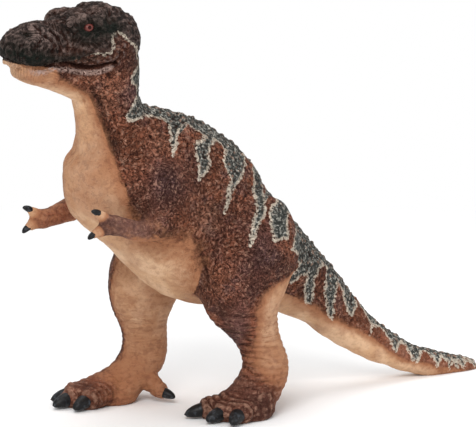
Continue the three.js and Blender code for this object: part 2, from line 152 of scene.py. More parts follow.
class Hide:
    """A closed skin of many small faces that can be smoothed, carved and painted like clay."""

    def __init__(self, mesh: bpy.types.Mesh, origin: np.ndarray) -> None:
        """Takes the points out of a mesh.

        Args:
            mesh: A closed mesh in metres, in the row frame.
            origin: The figure frame's origin, in millimetres.
        """
        self.mesh = mesh
        self.origin = origin
        count = len(mesh.vertices)
        flat = np.empty(count * 3)
        mesh.vertices.foreach_get("co", flat)
        self.points = flat.reshape(-1, 3) / MM - origin
        edges = np.empty(len(mesh.edges) * 2, np.int64)
        mesh.edges.foreach_get("vertices", edges)
        self.edges = edges.reshape(-1, 2)
        self.valence = np.maximum(np.bincount(edges, minlength=count), 1)

    def store(self) -> None:
        """Writes the points back to the mesh."""
        self.mesh.vertices.foreach_set("co", ((self.points + self.origin) * MM).ravel())
        self.mesh.update()

    def spread(self, values: np.ndarray, rounds: int = 1) -> np.ndarray:
        """The mean of each point's neighbours, for a value or a vector at each point, some rounds over."""
        spread = values.reshape(len(self.points), -1)
        for _ in range(rounds):
            spread = neighbour_sums(spread, *self.edges.T) / self.valence[:, None]
        return spread.reshape(values.shape)

    def smooth(self, rounds: int, share: np.ndarray | float = 1.0) -> None:
        """Evens the hide out.

        Args:
            rounds: How many times over.
            share: How much of each step a point takes, for the whole hide or at each point.
        """
        weight = 0.5 * np.broadcast_to(share, len(self.points))
        moved = weight > 1e-3
        used, ends = np.unique(self.edges[moved[self.edges].any(axis=1)], return_inverse=True)
        a, b = ends.reshape(-1, 2).T
        points, valence = self.points[used], self.valence[used, None]
        step = (weight * moved)[used, None]
        for _ in range(rounds):
            points += step * (neighbour_sums(points, a, b) / valence - points)
        self.points[used] = points

    def normals(self) -> np.ndarray:
        """The direction straight out of the hide at each point."""
        self.store()
        flat = np.empty(len(self.points) * 3, np.float32)
        self.mesh.vertex_normals.foreach_get("vector", flat)
        return flat.reshape(-1, 3).astype(float)

    def push(self, amount: np.ndarray) -> None:
        """Moves each point straight out by an amount."""
        self.points += self.normals() * amount[:, None]


def both(shares: dict[str, np.ndarray], part: str) -> np.ndarray:
    """How much each point is part of either one of a pair of limbs."""
    return shares[f"left_{part}"] + shares[f"right_{part}"]


class Moulding:
    """The whole figure as one hide, from copies of the CAD nodes."""

    voxel = 0.9
    glue = 0.2  # each node grows by this before they are joined, which closes the glue lines
    foot_height = 14.0
    first_rounds = 4
    body_rounds = 22
    shoulder = ((-27.0, -18.0, 89.0), (-28.5, -20.0, 82.0), (-30.5, -22.0, 73.0))
    shoulder_reach = 10.5
    shoulder_rounds = 260
    nape = ((-28.0, 111.0), (-23.6, 109.3), (-19.5, 108.5), (-15.5, 107.2), (-11.5, 105.6), (-7.3, 103.7))
    nape_width = 7.5

    def __init__(self, nodes: dict[str, bpy.types.Object], origin: np.ndarray) -> None:
        """Keeps what the hide is made from.

        Args:
            nodes: The CAD nodes by name.
            origin: The figure frame's origin, in millimetres.
        """
        self.nodes = nodes
        self.origin = origin

    def joined(self) -> bpy.types.Mesh:
        """All the nodes as one even mesh with no inner walls."""
        everything = bmesh.new()
        for node in self.nodes.values():
            grown = merged_copy(node)
            for vert in grown.verts:
                vert.co += vert.normal * self.glue * MM
            mesh = to_mesh(grown, "grown")
            everything.from_mesh(mesh)
            bpy.data.meshes.remove(mesh)
        mesh = to_mesh(everything, "joined")
        return self.outer_shell(modified(mesh, "REMESH", mode="VOXEL", voxel_size=self.voxel * MM))

    @staticmethod
    def outer_shell(mesh: bpy.types.Mesh) -> bpy.types.Mesh:
        """The same mesh without the small closed shells inside it."""
        bm = bmesh.new()
        bm.from_mesh(mesh)
        top = max(bm.verts, key=lambda vert: vert.co.z)
        reached, front = {top}, [top]
        while front:
            around = [edge.other_vert(vert) for vert in front for edge in vert.link_edges]
            front = [vert for vert in dict.fromkeys(around) if vert not in reached]
            reached.update(front)
        inner = [vert for vert in bm.verts if vert not in reached]
        bmesh.ops.delete(bm, geom=inner, context="VERTS")
        bm.to_mesh(mesh)
        bm.free()
        return mesh

    def nearest_nodes(self, hide: Hide) -> dict[str, np.ndarray]:
        """How much each point of the hide belongs to each outer node, from 0 to 1."""
        names = [name for name in sorted(self.nodes) if name != "torso_core"]
        trees = []
        for name in names:
            bm = merged_copy(self.nodes[name])
            trees.append(BVHTree.FromBMesh(bm))
            bm.free()
        places = [Vector(p) for p in (hide.points + self.origin) * MM]
        reach = np.array([[tree.find_nearest(place)[3] for place in places] for tree in trees])
        owner = reach.argmin(axis=0)
        return {name: (owner == index).astype(float) for index, name in enumerate(names)}

    def settle(self, hide: Hide) -> None:
        """Sinks the upper arms into the flanks, and draws the back straight behind the neck."""
        for side in Side:
            away = distance_to_path(hide.points, on_side(self.shoulder, side), 18.0)
            hide.smooth(self.shoulder_rounds, np.exp(-((away / self.shoulder_reach) ** 4)))
        x, y, z = hide.points.T
        stations = np.arange(self.nape[0][0], self.nape[-1][0], 1.0)
        ridge = (np.abs(y) < 3) & (z > 95) & (z < 115)
        top = np.array([z[ridge & (np.abs(x - at) < 0.9)].max() for at in stations])
        lift = np.interp(x, stations, np.interp(stations, *np.array(self.nape).T) - top, left=0, right=0)
        height = np.interp(x, stations, top)
        lift *= np.exp(-((y / self.nape_width) ** 2)) * ramp(z, height - 10, height - 2) * (z < height + 1)
        hide.points[:, 2] += lift

    def build(self) -> tuple[Hide, dict[str, np.ndarray]]:
        """The smooth fine hide, and each node's share of every point."""
        coarse = Hide(self.joined(), self.origin)
        shares = self.nearest_nodes(coarse)
        small = both(shares, "arm") + shares["head"] + shares["lower_jaw"]
        feet = both(shares, "leg") * (coarse.points[:, 2] < self.foot_height)
        fine_work = coarse.spread(np.clip(small + feet, 0, 1), 3)
        coarse.smooth(self.first_rounds)
        coarse.smooth(self.body_rounds, 1 - fine_work)
        self.settle(coarse)
        coarse.store()
        hide = Hide(modified(coarse.mesh, "SUBSURF", levels=1, render_levels=1), self.origin)
        return hide, self.nearest_nodes(hide)


def distance_to_path(
    points: np.ndarray, path: np.ndarray, reach: float, normals: np.ndarray | None = None
) -> np.ndarray:
    """How far points are from a line of straight runs.

    Args:
        points: The points, one a row.
        path: The line's corners, one a row.
        reach: Points further than this from the line keep this distance.
        normals: The hide's direction at each point, where the distance is taken along the hide.

    Returns:
        A distance for each point, at most the reach.
    """
    result = np.full(len(points), reach)
    near = np.all((points > path.min(axis=0) - reach) & (points < path.max(axis=0) + reach), axis=1)
    close = points[near]
    best = np.full(len(close), reach)
    for start, end in zip(path, path[1:]):
        run = end - start
        share = np.clip(((close - start) @ run) / max(run @ run, 1e-9), 0, 1)
        off = close - start - share[:, None] * run
        if normals is not None:
            out = normals[near]
            off -= 0.8 * (off * out).sum(axis=1)[:, None] * out
        best = np.minimum(best, np.linalg.norm(off, axis=1))
    result[near] = best
    return result


def inside_outline(flat: np.ndarray, outline: np.ndarray) -> np.ndarray:
    """Which points of a plane, two numbers a row, lie inside a closed outline."""
    inside = np.zeros(len(flat), bool)
    x, z = flat.T
    for (x0, z0), (x1, z1) in zip(outline, np.roll(outline, -1, axis=0)):
        if z0 == z1:
            continue
        crosses = (z0 > z) != (z1 > z)
        inside ^= crosses & (x < (x1 - x0) * (z - z0) / (z1 - z0) + x0)
    return inside


def ramp(values: np.ndarray, low: float | np.ndarray, high: float | np.ndarray) -> np.ndarray:
    """A smooth rise from 0 at low to 1 at high, or a fall where low is the greater."""
    share = np.clip((values - low) / (high - low), 0, 1)
    return share * share * (3 - 2 * share)


def on_side(path: tuple, side: Side) -> np.ndarray:
    """A point or a line of the left side, on the side asked for."""
    return np.array(path) * np.array([1, -side.value, 1])


def folded(points: np.ndarray) -> np.ndarray:
    """The points, with those of the right side moved over to the left."""
    return points * (1, 0, 1) - np.outer(np.abs(points[:, 1]), (0, 1, 0))


def pebbles(points: np.ndarray, size: float) -> np.ndarray:
    """How far each point is from the middle of its pebble, from 0 to about 1, for pebbles of one size."""
    return np.array([noise.voronoi(place)[0][0] for place in points / size])


def drift(points: np.ndarray, size: float) -> np.ndarray:
    """A soft random field from -1 to 1 that changes over the size."""
    return np.array([noise.noise(place) for place in points / size])


def creases(angle: np.ndarray) -> np.ndarray:
    """Broad rounds with narrow grooves between them, one to each half turn."""
    return np.abs(np.sin(angle)) ** 0.6 - 0.7


@dataclass(frozen=True)
class Stroke:
    """One pull of a modelling tool over the hide, drawn on the left side and mirrored on the right."""

    path: tuple[Point, ...]
    width: float
    lift: float  # below 0 for a groove

    def amount(self, points: np.ndarray) -> np.ndarray:
        """How far out the stroke moves each point."""
        total = np.zeros(len(points))
        for side in Side:
            distance = distance_to_path(points, on_side(self.path, side), 3 * self.width)
            pull = self.lift * np.exp(-((distance / self.width) ** 2))
            total = np.where(np.abs(pull) > np.abs(total), pull, total)
        return total


@dataclass(frozen=True)
class Spot:
    """A soft round patch, drawn on the left side and mirrored on the right."""

    at: Point
    spread: Point

    def amount(self, points: np.ndarray) -> np.ndarray:
        """How much of the patch each point takes, from 0 to 1."""
        away = (folded(points) - np.array(self.at)) / np.array(self.spread)
        return np.exp(-(away**2).sum(axis=1))


@dataclass(frozen=True)
class Zone:
    """A part of the figure that fades in along X and Z, over each pair from its first number on."""

    x: tuple[Pair, ...] = ()
    z: tuple[Pair, ...] = ()

    def share(self, points: np.ndarray) -> np.ndarray:
        """How much each point is in the zone, from 0 to 1."""
        fades = [(points[:, 0], pair) for pair in self.x] + [(points[:, 2], pair) for pair in self.z]
        return np.prod([ramp(values, *pair) for values, pair in fades], axis=0)


NECK_TOP = Zone(z=((124.0, 116.0),))
SKULL_PAINT = Zone(z=((122.0, 128.0),))
SKULL_GRAIN = Zone(z=((124.0, 134.0),))
CROWN = Zone(x=((-70.0, -62.0),), z=((139.0, 145.0),))
MUZZLE_RINGS = Zone(x=((-58.0, -64.0),), z=((141.0, 137.0),))
LIP_SPAN = Zone(x=((-44.5, -47.0), (-78.0, -72.0)))
CHIN = Zone(x=((-62.0, -70.0),), z=((129.5, 128.0),))
CHEST = Zone(x=((-12.0, -24.0),), z=((108.0, 94.0), (74.0, 84.0)))
FLANK = Zone(x=((-46.0, -38.0), (8.0, -4.0)), z=((84.0, 74.0),))
FOREARM = Zone(x=((-32.0, -43.0),))
WRIST = Zone(x=((-35.0, -41.0),))
PALM = Zone(x=((-50.0, -44.0),))
CROTCH = Zone(x=((6.0, -2.0),), z=((58.0, 50.0), (28.0, 36.0)))
HIP = Zone(z=((54.0, 50.0),))
SHIN = Zone(z=((46.0, 34.0),))
SHIN_SHADE = Zone(z=((34.0, 20.0),))
SHIN_CREASES = Zone(z=((44.0, 32.0), (7.0, 11.0)))
ANKLE = Zone(z=((21.0, 8.0),))
FOOT = Zone(z=((20.0, 11.0),))
TOES = Zone(z=((11.0, 8.0), (1.0, 3.0)))
TAIL = Zone(x=((36.0, 74.0),))
TAIL_SIDES = Zone(x=((36.0, 72.0),))
TAIL_MIDDLE = Zone(x=((38.0, 64.0),))
TAIL_STAIN = Zone(x=((52.0, 78.0),))
TAIL_END = Zone(x=((78.0, 98.0),))


@dataclass(frozen=True)
class Spine:
    """The middle line of the neck, trunk and tail, seen from the side."""

    rows: tuple[Pair, ...] = (
        (-43.0, 135.0), (-42.4, 127.5), (-43.0, 118.0), (-41.9, 109.5), (-38.0, 100.2), (-34.6, 90.6),
        (-24.8, 83.0), (-13.4, 73.5), (-1.9, 63.0), (8.6, 56.3), (20.2, 50.3), (31.7, 42.5), (41.3, 36.0),
        (50.5, 26.7), (63.4, 16.4), (79.5, 7.7), (93.5, 3.6), (107.5, 1.4),
    )
    samples: int = 500
    rounds: int = 12

    def places(self, points: np.ndarray) -> tuple[np.ndarray, np.ndarray, np.ndarray]:
        """Where points lie round the spine.

        Args:
            points: The points, one a row.

        Returns:
            How far along the spine from the skull, how far towards the back of it, and the angle from the
            ridge of the back in degrees.
        """
        rows = np.array(self.rows)
        runs = np.r_[0, np.cumsum(np.linalg.norm(np.diff(rows, axis=0), axis=1))]
        along = np.linspace(0, runs[-1], self.samples)
        line = np.stack([np.interp(along, runs, column) for column in rows.T], axis=1)
        heading = np.gradient(line, along, axis=0)
        for _ in range(self.rounds):
            heading[1:-1] = (heading[:-2] + 2 * heading[1:-1] + heading[2:]) / 4
        heading /= np.linalg.norm(heading, axis=1)[:, None]
        tree = KDTree(self.samples)
        for index, (x, z) in enumerate(line):
            tree.insert((x, 0.0, z), index)
        tree.balance()
        flat = points[:, [0, 2]]
        nearest = np.array([tree.find((x, 0.0, z))[1] for x, z in flat])
        offset = flat - line[nearest]
        back = offset[:, 0] * -heading[nearest, 1] + offset[:, 1] * heading[nearest, 0]
        angle = np.degrees(np.arctan2(np.abs(points[:, 1]), back))
        return along[nearest], back, angle


@dataclass(frozen=True)
class Claw:
    """One claw: where it leaves the flesh, where it heads, and its sizes."""

    root: Point
    heading: Point
    length: float
    width: float

    def axis(self) -> np.ndarray:
        """The claw's middle line from inside the flesh to its tip."""
        ahead = np.array(self.heading) * self.length
        return np.array([np.array(self.root) + ahead * share for share in (-0.35, 0.2, 0.65, 1.1)])


@dataclass(frozen=True)
class Foot:
    """A foot: where its toes and its spur start, and how they turn."""

    side: Side
    toes_at: Pair
    spur_at: Pair
    toes: tuple[Pair, ...]  # degrees outwards and length to the claw's tip
    spur_turn: float
    claw_length: float = 8.0
    claw_width: float = 6.2
    claw_reach: float = 8.64
    claw_up: float = 3.4
    spur_reach: float = 12.6
    spur_up: float = 3.8
    spur_size: Pair = (0.7, 0.73)  # its claw's length and width beside a toe's

    def claws(self) -> list[Claw]:
        """The claws of the toes, then the spur's."""
        made = []
        for degrees, length in self.toes:
            turn = math.radians(degrees)
            heading = (-math.cos(turn), self.side.value * math.sin(turn), 0.0)
            reach = length - self.claw_reach
            root = (self.toes_at[0] + heading[0] * reach, self.toes_at[1] + heading[1] * reach, self.claw_up)
            made.append(Claw(root, heading, self.claw_length, self.claw_width))
        turn = math.radians(self.spur_turn)
        heading = (math.cos(turn), -self.side.value * math.sin(turn), 0.0)
        x, y = (at + ahead * self.spur_reach for at, ahead in zip(self.spur_at, heading))
        long, wide = self.spur_size
        return [*made, Claw((x, y, self.spur_up), heading, long * self.claw_length, wide * self.claw_width)]


@dataclass(frozen=True)
class Hand:
    """A hand: its palm, and how its two fingers rise."""

    palm: Point
    fingers: tuple[Pair, ...]  # degrees upwards and length without the claw
    flesh_over: float = 1.3
    claw_length: float = 2.8
    claw_width: float = 2.8

    def claws(self) -> list[Claw]:
        """The claws of the fingers."""
        made = []
        for degrees, length in self.fingers:
            rise = math.radians(degrees)
            heading = (-math.cos(rise), 0.0, math.sin(rise))
            root = tuple(at + ahead * (length + self.flesh_over) for at, ahead in zip(self.palm, heading))
            made.append(Claw(root, heading, self.claw_length, self.claw_width))
        return made


LIMBS = {
    "left_foot_claws": Foot(Side.LEFT, (1.2, -25.0), (4.8, -24.0), ((41, 20.7), (12, 21.6), (-18, 24.5)), 47),
    "right_foot_claws": Foot(
        Side.RIGHT, (-27.0, 20.0), (-20.9, 20.0), ((14, 25.5), (-5, 28.7), (-24, 26.7)), 64
    ),
    "left_hand_claws": Hand((-51.7, -21.8, 73.8), ((38, 6.8), (-16, 7.1))),
    "right_hand_claws": Hand((-56.4, 21.6, 68.5), ((38, 5.3), (-22, 5.0))),
}

MOUTH = (
    (-83.6, 0.0, 132.6), (-82.0, -3.8, 131.7), (-80.2, -4.9, 130.8), (-77.1, -4.9, 129.5),
    (-73.4, -5.4, 128.8), (-70.3, -5.5, 128.7), (-67.7, -5.8, 129.4), (-66.2, -6.7, 130.4),
    (-63.1, -6.7, 129.9), (-57.4, -7.2, 128.3), (-53.8, -8.0, 127.7), (-50.2, -8.7, 127.8),
    (-47.5, -9.8, 128.8), (-44.3, -10.2, 128.6),
)
EYE_AT = (-54.8, -9.7, 142.0)
NOSTRIL_AT = (-76.4, -4.5, 140.6)

LIP = (
    (-82.5, -2.0, 130.3), (-79.0, -5.2, 129.2), (-74.0, -5.9, 127.3), (-70.5, -6.0, 127.1),
    (-67.3, -5.9, 128.0), (-62.9, -6.6, 127.5), (-57.7, -7.7, 126.2), (-54.0, -8.4, 125.7),
    (-50.3, -8.9, 125.8), (-46.6, -9.8, 126.8),
)

STROKES = (
    Stroke(MOUTH, 0.6, -0.7),
    Stroke(MOUTH[7:], 0.45, -0.5),
    Stroke(LIP, 1.1, 0.55),
    Stroke(((-82.7, -3.7, 134.0), (-78.4, -6.0, 132.2), (-73.5, -6.6, 131.3), (-68.0, -7.4, 132.2),
            (-63.5, -7.7, 131.8), (-57.6, -8.2, 130.2), (-51.0, -9.6, 129.9), (-46.3, -10.6, 130.3)),
            1.0, 0.35),
    Stroke(((-61.7, -8.9, 143.6), (-59.2, -9.6, 145.0), (-56.0, -9.9, 145.6), (-53.0, -9.9, 145.0),
            (-50.6, -10.2, 143.3), (-49.2, -10.6, 141.2)), 1.2, 0.9),
    Stroke(((-58.6, -8.9, 140.0), (-56.9, -10.0, 139.2), (-54.4, -10.6, 139.0), (-52.0, -10.6, 139.8)),
            0.7, 0.4),
    Stroke(((-60.9, -8.7, 138.4), (-58.3, -9.8, 137.0), (-54.9, -10.8, 136.3), (-51.8, -11.5, 136.6)),
            0.7, -0.45),
    Stroke(((-61.8, -9.1, 135.7), (-58.3, -9.7, 133.9), (-54.1, -10.7, 133.0)), 0.7, -0.4),
    Stroke(((-67.7, -5.3, 141.3), (-65.9, -7.0, 139.6), (-65.0, -8.2, 137.2), (-65.6, -8.4, 134.6)),
            0.55, -0.8),
    Stroke(((-70.4, -5.9, 140.3), (-68.4, -7.3, 138.5), (-67.3, -8.1, 136.4), (-68.3, -8.2, 134.4)),
            0.55, -0.8),
    Stroke(((-63.4, -7.4, 139.8), (-62.5, -8.7, 137.1), (-63.0, -8.8, 134.4)), 0.55, -0.7),
    Stroke(((-72.5, -2.5, 142.3), (-71.4, -4.7, 141.2), (-71.6, -6.6, 139.1), (-73.7, -7.4, 137.6)),
            0.6, -0.7),
    Stroke(((-78.5, -3.3, 139.2), (-78.2, -2.6, 141.2), (-76.0, -2.4, 142.6), (-74.4, -4.0, 141.8)),
            0.8, 0.55),
    Stroke(((-44.3, -10.2, 128.6), (-43.0, -11.4, 131.1), (-43.1, -12.4, 134.1)), 0.9, -0.5),
    Stroke(((-48.0, -9.6, 116.4), (-46.0, -10.2, 112.4), (-44.6, -10.5, 108.0), (-43.7, -11.2, 104.2),
            (-43.5, -12.0, 101.0)), 1.0, -0.3),
    Stroke(((-53.1, -8.8, 120.6), (-50.8, -8.2, 116.4), (-49.5, -8.7, 112.2), (-48.5, -9.3, 107.0)),
            1.2, -0.6),
    Stroke(((-47.1, -9.6, 124.8), (-45.1, -10.2, 122.3), (-44.1, -10.5, 119.4)), 1.1, -0.3),
    Stroke(((-59.4, -7.3, 121.0), (-56.6, -6.4, 118.5), (-54.1, -4.7, 115.1)), 1.0, -0.4),
    Stroke(((-17.6, -22.2, 62.4), (-15.5, -21.6, 56.2), (-14.7, -22.3, 49.8)), 1.4, -0.7),
)


class Carving:
    """The forms that the modeller's tools left in the hide."""

    back_lumps = 2.4  # these are the sizes of lumps, folds and waves
    skin_grain = 1.5
    toe_lumps = 2.6
    crown_knobs = 4.2
    lip_bumps = 1.7
    crease_pitch = 2.3
    scute_pitch = 3.4
    scute_width = 2.3
    scute_height = 0.75
    scutes_from = (2.0, 12.0)  # along the spine
    scutes_to = (205.0, 150.0)
    eye_pit = (0.9, 2.4)  # depth and radius
    nostril_pit = (1.3, 1.25, 1.25)
    nostril_rim = Spot((-79.5, -3.2, 139.0), (3.6, 4.2, 2.6))
    snout_hump = Spot((-72.5, -1.5, 142.5), (5.5, 4.5, 3.0))

    def __init__(self, hide: Hide, shares: dict[str, np.ndarray]) -> None:
        """Keeps the hide and what it belongs to.

        Args:
            hide: The smooth hide, which is carved in place.
            shares: How much of each point belongs to each CAD node.
        """
        self.hide = hide
        self.shares = {name: hide.spread(share, 2) for name, share in shares.items()}
        self.along, self.back, self.angle = Spine().places(hide.points)

    def trunk(self) -> np.ndarray:
        """How much each point is part of the neck, trunk or tail."""
        neck = self.shares["head"] * NECK_TOP.share(self.hide.points)
        return np.clip(self.shares["torso"] + self.shares["tail"] + neck, 0, 1)

    def tuck_claws(self) -> None:
        """Draws the moulded claws in, under the claws that are added later."""
        points = self.hide.points
        for claw in [claw for limb in LIMBS.values() for claw in limb.claws()]:
            root, heading = np.array(claw.root), np.array(claw.heading)
            ahead = (points - root) @ heading
            away = distance_to_path(points, claw.axis(), claw.length)
            held = (ahead > 0) & (away < 0.85 * claw.width)
            middle = root + np.outer(ahead, heading)
            middle[:, 2] -= np.clip(ahead, 0, None) * 0.25
            kept = 1.06 - 0.56 * ramp(ahead, 0.12 * claw.length, 0.42 * claw.length)
            points[held] = middle[held] + kept[held, None] * (points[held] - middle[held])
            past = ahead - 0.7 * claw.length
            tip = held & (past > 0)
            points[tip] -= np.outer(past[tip], heading)

    def pit(self, at: Point, depth: float, radius: float, stretch: float = 1.0) -> np.ndarray:
        """How far a round pit on either side moves each point, where stretch above 1 makes it lower."""
        ways = [(self.hide.points - on_side(at, side)) * (1.0, 1.0, stretch) for side in Side]
        return sum(-depth * np.exp(-((np.linalg.norm(way, axis=1) / radius) ** 2)) for way in ways)

    def features(self) -> None:
        """The mouth, lids, folds and nostrils."""
        points = self.hide.points
        out = sum(stroke.amount(points) for stroke in STROKES)
        out += self.pit(EYE_AT, *self.eye_pit) + self.pit(NOSTRIL_AT, *self.nostril_pit)
        out += 0.8 * self.nostril_rim.amount(points) + 1.4 * self.snout_hump.amount(points)
        lips = ramp(distance_to_path(folded(points), np.array(LIP), 3.0), 1.5, 0.5)
        out += 0.8 * lips * (0.5 - pebbles(points + 90.0, self.lip_bumps))
        self.hide.push(out)

    def ridge(self) -> None:
        """The row of scutes down the back, from the nape to the tail."""
        fade = ramp(self.along, *self.scutes_from) * ramp(self.along, *self.scutes_to)
        phase = 2 * math.pi * self.along / self.scute_pitch + 1.5 * drift(self.hide.points, 6.0)
        close = np.exp(-((self.hide.points[:, 1] / self.scute_width) ** 2)) * (self.back > 0)
        self.hide.push(self.scute_height * fade * (0.5 + 0.5 * np.cos(phase)) * close * self.trunk())

    def wrinkles(self) -> None:
        """The creases across the shins, ankles and feet."""
        points, legs = self.hide.points, both(self.shares, "leg")
        x, y, z = points.T
        turns = z / self.crease_pitch + 0.8 * drift(points, 7.0) + 0.05 * x
        calmer = np.where(y > 0, 0.6, 1.0)  # the far foot is the smoother one
        shins = 0.5 * calmer * creases(math.pi * turns) * SHIN_CREASES.share(points) * legs
        self.hide.push(shins * (0.8 + 0.6 * drift(points, 5.0)))
        toes = calmer * TOES.share(points) * legs
        across = np.zeros(len(points))
        for foot in (LIMBS["left_foot_claws"], LIMBS["right_foot_claws"]):
            reach = np.hypot(x - foot.toes_at[0], y - foot.toes_at[1])
            angle = math.pi * reach / self.crease_pitch + 0.8 * drift(points, 4.0)
            across += self.shares[f"{foot.side.name.lower()}_leg"] * creases(angle)
        lumps = 0.5 - pebbles(points + 20.0, self.toe_lumps)
        self.hide.push((0.6 * across + 0.75 * lumps) * toes)

    def grain(self) -> None:
        """The pebbled hide: coarse on the back, finer down the flanks, and faint on the belly."""
        points, trunk = self.hide.points, self.trunk()
        coarse = 0.45 - pebbles(points, self.back_lumps)
        fine = 0.45 - pebbles(points + 50.0, self.skin_grain)
        upper = ramp(self.angle, 95, 45) * trunk
        skull = self.shares["head"] * SKULL_GRAIN.share(points)
        crown = skull * CROWN.share(points)
        knobs = 0.5 - pebbles(points + 70.0, self.crown_knobs)
        rings = np.cos(2 * math.pi * 4.8 * drift(points, 7.5)) * MUZZLE_RINGS.share(points)
        swirls = 0.28 * rings + 0.35 - np.abs(drift(points, 2.1)) * 1.4
        soft = (0.4 + 0.6 * trunk) * (1 - 0.8 * trunk * ramp(self.angle, 100, 130))
        self.hide.push(coarse * (0.75 * upper + 0.3 * skull) + 0.45 * fine * soft)
        self.hide.push(1.6 * knobs * crown + 0.5 * swirls * skull)

    def unevenness(self) -> None:
        """The slow swells that keep any large area from looking turned or cast."""
        points = self.hide.points
        amount = 0.45 * drift(points, 9.0) + 0.25 * drift(points + 30.0, 4.0)
        body = self.trunk() + 0.8 * both(self.shares, "leg") + 0.5 * both(self.shares, "arm")
        self.hide.push(amount * np.clip(body, 0, 1))
        chest = CHEST.share(points) * self.shares["torso"] * ramp(self.angle, 95, 125)
        self.hide.push((0.6 + np.abs(drift(points * (1.0, 1.0, 0.6) + 60.0, 4.2))) * chest)
        end = TAIL_END.share(points)
        self.hide.push(1.1 * end)
        points[:, 2] -= 0.7 * end

    def hollows(self) -> np.ndarray:
        """How hollow the hide is at each point, from -1 on a crest to 1 in a crease."""
        hide, normals = self.hide, self.hide.normals()
        sharp, broad = (((hide.spread(hide.points, n) - hide.points) * normals).sum(axis=1) for n in (1, 6))
        return np.clip(hide.spread(8 * sharp + 3.2 * broad), -1, 1)

    def carve(self) -> np.ndarray:
        """Carves everything, and gives how hollow each point ends up."""
        self.tuck_claws()
        self.unevenness()
        self.features()
        self.ridge()
        self.wrinkles()
        self.grain()
        self.hide.points[:, 2] = np.maximum(self.hide.points[:, 2], 0.0)
        found = self.hollows()
        self.hide.store()
        return found


@dataclass(frozen=True)
class Outline:
    """One painted outline on the left side: the line itself, and the way round behind it in side view."""

    line: tuple[Point, ...]
    behind: tuple[Pair, ...]  # X and Z of the corners that close it

    def area(self) -> np.ndarray:
        """The closed outline in side view."""
        return np.array([(x, z) for x, _, z in self.line] + list(self.behind))


